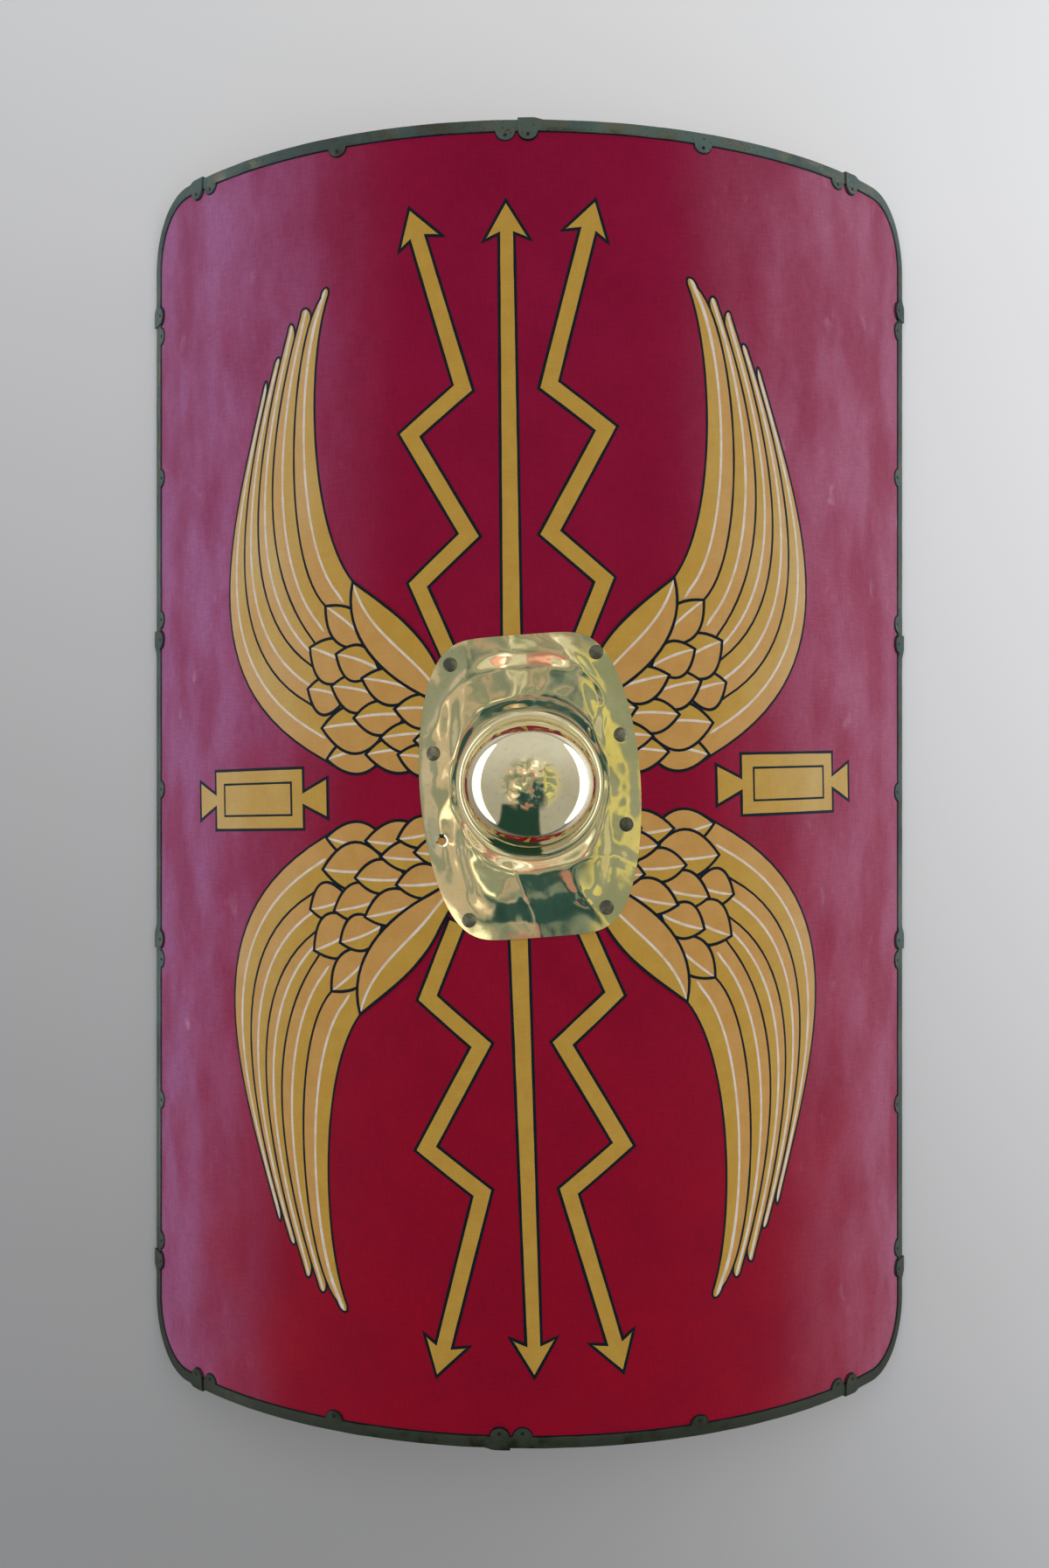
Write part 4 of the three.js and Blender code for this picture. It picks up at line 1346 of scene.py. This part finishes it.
def make_boss():
    bm = bmesh.new()
    spun(bm, boss_section(), BOSS_STEPS)
    bmesh.ops.remove_doubles(bm, verts=bm.verts, dist=MERGE)
    for vertex in bm.verts:
        x, y, n = vertex.co
        radius, direction = math.hypot(x, y), math.atan2(y, x)
        if radius > FLARE_RADIUS:
            share = (radius - FLARE_RADIUS) / (PLATE_RINGS * PLATE_GROWTH)
            foot = Vector((math.cos(direction), math.sin(direction))) * FLARE_RADIUS
            x, y = foot.lerp(plate_edge(direction), share)
            calm = 1 - smooth(RIM_CALM[0], 1, share) * RIM_CALM[1]
            n += plate_relief(x, y) * smooth(0, SEATED_FROM, share) * calm
        vertex.co = (x, y, n)
    bmesh.ops.recalc_face_normals(bm, faces=bm.faces)
    if sum(face.normal.z for face in bm.faces) < 0:
        bmesh.ops.reverse_faces(bm, faces=bm.faces)
    bmesh.ops.solidify(bm, geom=bm.faces[:], thickness=BOSS_SHEET)
    bmesh.ops.rotate(bm, verts=bm.verts, cent=(0, 0, 0), matrix=Matrix.Rotation(BOSS_TURN, 3, "Z"))
    bend(bm)
    return bm


boss_mesh = make_boss()
print("boss:", size_of(boss_mesh))

# %% [markdown]
# ### Polished brass
# The polish is high, so the colour comes mostly from what it reflects. A faint tarnish in clouds makes some
# places duller and browner, fine scratches soften the reflections, and small ripples that are too fine for
# the mesh are a bump.

# %% Material: polished brass
brass, tree, shader = new_material("polished_brass", Metallic=1.0)
where = add(tree, "TexCoord").outputs["Object"]
age = add(tree, "Group", {"Vector": where, "Scale": 28.0}, node_tree=aged).outputs
hairs = add(tree, "Group", {
    "Vector": where, "Across": 1400.0, "Along": 60.0, "Low": 0.5, "High": 0.8,
}, node_tree=streaks).outputs[0]
body = blend(tree, maths(tree, "MULTIPLY", age["Tarnish"], 0.3), colour("f2e9c9"), colour("d4c79f"))
body = blend(tree, maths(tree, "MULTIPLY", age["Specks"], 0.15), body, colour("9a8a5c"))
tree.links.new(body, shader.inputs["Base Color"])
dull = maths(tree, "ADD", maths(tree, "MULTIPLY", age["Tarnish"], 0.03), 0.035)
tree.links.new(maths(tree, "ADD", dull, maths(tree, "MULTIPLY", hairs, 0.03)), shader.inputs["Roughness"])
ripples = add(tree, "TexNoise", {"Vector": where, "Scale": 95.0, "Detail": 1.5}).outputs[0]
bump = add(tree, "Bump", {"Height": ripples, "Strength": 0.1, "Distance": 0.4 * MM})
tree.links.new(bump.outputs[0], shader.inputs["Normal"])
print("material", brass.name, "made")

# %% Pierce the lost rivet's hole
HOLE_RADIUS = 1.5 * MM
COUNTERSINK_RADIUS, COUNTERSINK_DEPTH = 3.6 * MM, 1.6 * MM
CONE_FOOT = 1.4 * MM  # how far below the plate's true surface the countersink ends
CUTTER_DEPTH, DRILL_DEPTH = 6 * MM, 4 * MM


def make_cutter():
    """A drill, and a cone above it that widens the empty hole upwards, both square to the plate."""
    bm = bmesh.new()
    wide = HOLE_RADIUS + (COUNTERSINK_RADIUS - HOLE_RADIUS) * CUTTER_DEPTH / COUNTERSINK_DEPTH
    cone_middle = PLATE_TOP + CUTTER_DEPTH / 2 - CONE_FOOT
    drill_middle = PLATE_TOP - DRILL_DEPTH / 2
    cone, drill = (wide, CUTTER_DEPTH, cone_middle), (HOLE_RADIUS, DRILL_DEPTH, drill_middle)
    for radius, depth, middle in (cone, drill):
        bmesh.ops.create_cone(
            bm, cap_ends=True, segments=28, radius1=HOLE_RADIUS, radius2=radius, depth=depth,
            matrix=Matrix.Translation(lost_rivet + Vector((0, 0, middle))),
        )
    bend(bm)
    return bm


def cut_away(piece, cutter_mesh):
    """Cuts a shape out of a finished piece and keeps the result as its mesh."""
    mesh = bpy.data.meshes.new("cutter")
    cutter_mesh.to_mesh(mesh)
    cutter_mesh.free()
    cutter = bpy.data.objects.new("cutter", mesh)
    bpy.context.scene.collection.objects.link(cutter)
    modifier = piece.modifiers.new("cut", "BOOLEAN")
    modifier.operation, modifier.object, modifier.solver = "DIFFERENCE", cutter, "EXACT"
    modifier.use_self = True
    depsgraph = bpy.context.evaluated_depsgraph_get()
    piece.data = bpy.data.meshes.new_from_object(piece.evaluated_get(depsgraph), depsgraph=depsgraph)
    piece.modifiers.clear()
    bpy.data.objects.remove(cutter)
    piece.data.set_sharp_from_angle(angle=math.radians(SHARP))


boss = finish_piece("boss_plate", boss_mesh, [brass], ["boss"])
cut_away(boss, make_cutter())
print("boss pierced:", len(boss.data.polygons), "faces")

# %% [markdown]
# ### Rivets of the boss
# Seven domed rivets hold the plate. They are a darker bronze than the plate, dulled by handling.

# %% Set the rivets
RIVET_HEAD = (5.9 * MM, 3.4 * MM)
RIVET_SHANK = 2.2 * MM
RIVET_BURR = (4.2 * MM, 1.6 * MM)
RIVET_DENT = 0.35 * MM
HEAD_UNDER = FIT_GAP + BOSS_SHEET + FIT_GAP
rivet_bronze = bronze("rivet_bronze", "8e8a74", "55574c", "23241f", "44443a", 150.0, 0.3)
for name, place in rivet_places.items():
    rivet = make_fixing(
        place, RIVET_HEAD, RIVET_SHANK, RIVET_BURR, HEAD_UNDER, -BOARD_THICKNESS - FIT_GAP, RIVET_DENT
    )
    finish_piece(name + "_set", rivet, [rivet_bronze], [name])
print(len(rivet_places), "rivets set")

# %% [markdown]
# ## The grip
# A bar of ash spans the hollow behind the hand opening. It is slim and well rounded where the hand closes
# round it, and it widens to flat ends that are nailed to the board. It starts as a box, which is cut
# across where its width changes. The long edges are then bevelled round, and the ends are trimmed to the
# curve of the board.

# %% Carve the grip
grip_low, grip_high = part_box("grip_bar")
GRIP_HAND_HALF = 14 * MM
GRIP_HAND_LENGTH = 104 * MM
GRIP_SHOULDER = 24 * MM
GRIP_ROUNDING = 6 * MM
HOLLOW_RADIUS = FACE_RADIUS - BOARD_THICKNESS - FIT_GAP
GRIP_CUT = 4 * MM
CORNER_ANGLE = 1  # radians, less than the turn at a long edge of the bar


def make_grip():
    """Cuts a box across, narrows it for the hand, rounds its long edges and fits it to the hollow."""
    bm = bmesh.new()
    size, middle = grip_high - grip_low, (grip_high + grip_low) / 2
    bmesh.ops.create_cube(bm, size=1, matrix=Matrix.LocRotScale(middle, None, size))
    cuts = int(size.x / 2 / GRIP_CUT)
    for step in range(-cuts + 1, cuts):
        everything = [*bm.verts, *bm.edges, *bm.faces]
        bmesh.ops.bisect_plane(bm, geom=everything, plane_co=(step * GRIP_CUT, 0, 0), plane_no=(1, 0, 0))
    half = size.y / 2
    for vertex in bm.verts:
        wide = smooth(GRIP_HAND_LENGTH / 2, GRIP_HAND_LENGTH / 2 + GRIP_SHOULDER, abs(vertex.co.x))
        vertex.co.y *= (GRIP_HAND_HALF + (half - GRIP_HAND_HALF) * wide) / half
    corners = [e for e in bm.edges if len(e.link_faces) == 2 and e.calc_face_angle(0) > CORNER_ANGLE]
    long_edges = [e for e in corners if abs(e.verts[0].co.x - e.verts[1].co.x) > GRIP_CUT / 2]
    bmesh.ops.bevel(
        bm, geom=long_edges, offset=GRIP_ROUNDING, affect="EDGES", segments=6, profile=0.5, material=-1
    )
    for vertex in bm.verts:
        roof = AXIS_Z + math.sqrt(HOLLOW_RADIUS ** 2 - vertex.co.x ** 2)
        vertex.co.z = min(vertex.co.z, roof)
    return close_up(bm)


grip = make_grip()
print("grip:", size_of(grip))

# %% Material: ash
ash, tree, shader = new_material("ash_grip", Specular_IOR_Level=0.4)
where = add(tree, "TexCoord").outputs["Object"]
turned_grain = add(tree, "Mapping", {"Vector": where, "Rotation": (0, 0, math.pi / 2)}).outputs[0]
rings = add(tree, "Group", {
    "Vector": turned_grain, "Across": 160.0, "Along": 6.0, "Low": 0.38, "High": 0.62,
}, node_tree=streaks).outputs[0]
pores = add(tree, "Group", {
    "Vector": turned_grain, "Across": 1500.0, "Along": 60.0, "Low": 0.5, "High": 0.72,
}, node_tree=streaks).outputs[0]
handled = add(tree, "Group", {
    "Vector": where, "Scale": 25.0, "Low": 0.35, "High": 0.7,
}, node_tree=patches).outputs[0]
body = blend(tree, rings, colour("bb9663"), colour("946b3e"))
body = blend(tree, maths(tree, "MULTIPLY", pores, 0.5), body, colour("5d4226"))
body = blend(tree, maths(tree, "MULTIPLY", handled, 0.35), body, colour("6a4c2e"))
tree.links.new(body, shader.inputs["Base Color"])
tree.links.new(maths(tree, "ADD", maths(tree, "MULTIPLY", pores, 0.2), 0.4), shader.inputs["Roughness"])
bump = add(tree, "Bump", {"Height": pores, "Strength": 0.3, "Distance": 0.2 * MM})
tree.links.new(bump.outputs[0], shader.inputs["Normal"])
finish_piece("grip_carved", grip, [ash], ["grip_bar"])
print("material", ash.name, "made")

# %% Nail the grip
GRIP_NAIL_X, GRIP_NAIL_Y = 124 * MM, 10 * MM
GRIP_NAIL_DEPTH = 9 * MM
GRIP_NAIL_HEAD = (3 * MM, 1.3 * MM)
GRIP_NAIL_EDGE = 0.2 * MM
shank = [(0, -GRIP_NAIL_DEPTH), (NAIL_SHANK, -GRIP_NAIL_DEPTH), (NAIL_SHANK, 0), (GRIP_NAIL_HEAD[0], 0)]
section = shank + dome_section(GRIP_NAIL_HEAD[0], GRIP_NAIL_EDGE, GRIP_NAIL_HEAD[1])
for number in range(4):
    x, y = GRIP_NAIL_X * (-1) ** number, GRIP_NAIL_Y * (-1) ** (number // 2)
    bm = bmesh.new()
    spun(bm, section, TURN_STEPS)
    close_up(bm)
    bmesh.ops.rotate(bm, verts=bm.verts, cent=(0, 0, 0), matrix=Matrix.Rotation(math.pi, 3, "X"))
    bmesh.ops.translate(bm, verts=bm.verts, vec=(x, y, grip_low.z))
    finish_piece("grip_nail_%d" % (number + 1), bm, [nail_bronze])
print("4 nails in the grip")

# %% [markdown]
# ## The stage
# The shield lies face up on a plain pale floor, and the camera looks straight down on it. Two long low
# soft lights at the sides rake the curved flanks and draw the bright crescents in the polished bowl. A
# broad light overhead, towards the upper right, lights the face. Polished metal shows its whole
# surroundings, so reflections see a soft indoor room in quiet colours, while the camera sees a plain one.

# %% Floor
FLOOR_HALF = 6
FLOOR_SLOPE = 1.3  # it gets paler towards the upper right, over this far from the middle on both sides


def make_floor():
    bm = bmesh.new()
    bmesh.ops.create_grid(bm, x_segments=1, y_segments=1, size=FLOOR_HALF)
    mesh = bpy.data.meshes.new("floor")
    bm.to_mesh(mesh)
    bm.free()
    floor = bpy.data.objects.new("floor", mesh)
    bpy.context.scene.collection.objects.link(floor)
    material, tree, shader = new_material("pale_floor", Roughness=0.9, Specular_IOR_Level=0.2)
    where = add(tree, "SeparateXYZ", {"Vector": add(tree, "TexCoord").outputs["Object"]}).outputs
    # Painted light: the floor is painted paler towards the upper right, a painted gradient of light falling
    # from there.
    share = between(tree, maths(tree, "ADD", where["X"], where["Y"]), -FLOOR_SLOPE, FLOOR_SLOPE)
    tree.links.new(blend(tree, share, colour("989898"), colour("f0f0f0")), shader.inputs["Base Color"])
    mesh.materials.append(material)
    return floor


floor = make_floor()
print("floor", floor.dimensions[:2])

# %% Lights
def soft_light(name, place, target, size, power, tint, shape="RECTANGLE"):
    """A broad light at a place, turned to its target, that the camera doesn't see."""
    data = bpy.data.lights.new(name, "AREA")
    data.shape = shape
    data.size, data.size_y = size
    data.energy = power
    data.color = tint
    light = bpy.data.objects.new(name, data)
    light.location = place
    light.rotation_euler = (Vector(target) - Vector(place)).to_track_quat("-Z", "Y").to_euler()
    light.visible_camera = False
    bpy.context.scene.collection.objects.link(light)
    return light


overhead = soft_light("overhead", (0.22, 0.38, 2.6), (0, 0, 0.1), (3.2, 2.6), 41, (1.0, 1.0, 1.0))
overhead.visible_glossy = False
for name, side in (("left", -1), ("right", 1)):
    place, target = (1.15 * side, 0.03, 0.28), (0, 0.03, 0.2)
    soft_light("side_" + name, place, target, (3.0, 0.5), 6.0, (0.9, 0.94, 1.0), "ELLIPSE")

# %% [markdown]
# What the brass reflects is a picture of its own. Straight above it the dents pull a room into marbled
# patches of grey-green, beige, pink and bright cream. Further to the left the patches are cream, further to
# the right they are yellow. The bowl sees a plain pale wall with one dark figure low down. None of this
# falls on the rest of the shield, which has an even soft light.

# %% Above the boss
world = bpy.data.worlds.new("room")
bpy.context.scene.world = world
world.use_nodes = True
tree = world.node_tree
tree.nodes.clear()
ROOM_PATCHES = [  # (place on the ramp, colour), from dark corners to bright windows
    (0.0, "1c343a"), (0.38, "3c5e5c"), (0.425, "8a9888"), (0.48, "a4ab98"), (0.505, "c8b298"),
    (0.54, "d2bfa6"), (0.555, "8c9884"), (0.61, "b0b69c"), (0.64, "e8e2c0"), (0.8, "fffbe8"),
]
direction = add(tree, "TexCoord").outputs["Generated"]
parts = add(tree, "SeparateXYZ", {"Vector": direction}).outputs
warped = add(tree, "TexNoise", {
    "Vector": direction, "Scale": 4.4, "Detail": 1.6, "Distortion": 1.0,
}).outputs[0]
darker_below = maths(tree, "ADD", warped, maths(tree, "MULTIPLY", parts["Y"], 0.45))
ramp = add(tree, "ValToRGB", {"Fac": darker_below})
stops = ramp.color_ramp.elements
while len(stops) < len(ROOM_PATCHES):
    stops.new(1.0)
for stop, (place, code) in zip(stops, ROOM_PATCHES):
    stop.position = place
    stop.color = colour(code)
blush = add(tree, "TexNoise", {"Vector": direction, "Scale": 5.0, "Detail": 1.0}).outputs[0]
marbled = blend(tree, between(tree, blush, 0.61, 0.66), ramp.outputs[0], colour("c89484"))
cream_side = blend(tree, between(tree, warped, 0.45, 0.49), colour("9ca490"), colour("dccbb0"))
yellow_side = blend(tree, between(tree, warped, 0.43, 0.46), colour("a0a88c"), colour("f2e68e"))
sides = blend(tree, between(tree, parts["X"], -0.1, 0.1), cream_side, yellow_side)
aside = between(tree, maths(tree, "ABSOLUTE", parts["X"]), 0.24, 0.36)
above = blend(tree, aside, marbled, sides)
print("the room above the boss has", len(ROOM_PATCHES), "colours")

# %% Around the boss
wall = blend(tree, between(tree, parts["Y"], -0.3, 0.9), colour("c2c0b8"), colour("e8e8e4"))
from_figure = maths(tree, "ABSOLUTE", maths(tree, "ADD", parts["X"], 0.2))
low_down = between(tree, parts["Y"], -0.42, -0.5)
figure = maths(tree, "MULTIPLY", between(tree, from_figure, 0.42, 0.36), low_down)
around = blend(tree, figure, wall, colour("2c4c44"))
room = blend(tree, between(tree, parts["Z"], 0.7, 0.92), around, above)
path = add(tree, "LightPath").outputs
even = blend(tree, between(tree, parts["Y"], -1, 1), colour("9a9a9e"), colour("b2b2b2"))
sky = blend(tree, path["Is Glossy Ray"], even, room)
sky = blend(tree, path["Is Camera Ray"], sky, colour("dcdcdc"))
glare = maths(tree, "MULTIPLY", between(tree, warped, 0.62, 0.68), between(tree, parts["Z"], 0.78, 0.86))
glare = maths(tree, "MULTIPLY", maths(tree, "MULTIPLY", glare, path["Is Glossy Ray"]), 1.1)
background = add(tree, "Background", {"Color": sky, "Strength": maths(tree, "ADD", glare, 0.85)})
add(tree, "OutputWorld", {"Surface": background.outputs[0]})
print("surroundings:", len(tree.nodes), "nodes")

# %% Camera
CAMERA_ABOVE_FACE = 1.146
LENS_LONG_SIDE = 36.0
LENS = 32.98
CAMERA_ASIDE = -0.0045
camera_data = bpy.data.cameras.new("camera")
camera_data.lens = LENS
camera_data.sensor_width = LENS_LONG_SIDE
camera_data.sensor_fit = "AUTO"
camera = bpy.data.objects.new("camera", camera_data)  # unturned, it looks straight down
camera.location = (CAMERA_ASIDE, 0, FACE_TOP + CAMERA_ABOVE_FACE)
bpy.context.scene.collection.objects.link(camera)
bpy.context.scene.camera = camera
bpy.context.scene.view_settings.view_transform = "Standard"
print("camera %.2f m above the floor" % camera.location.z)
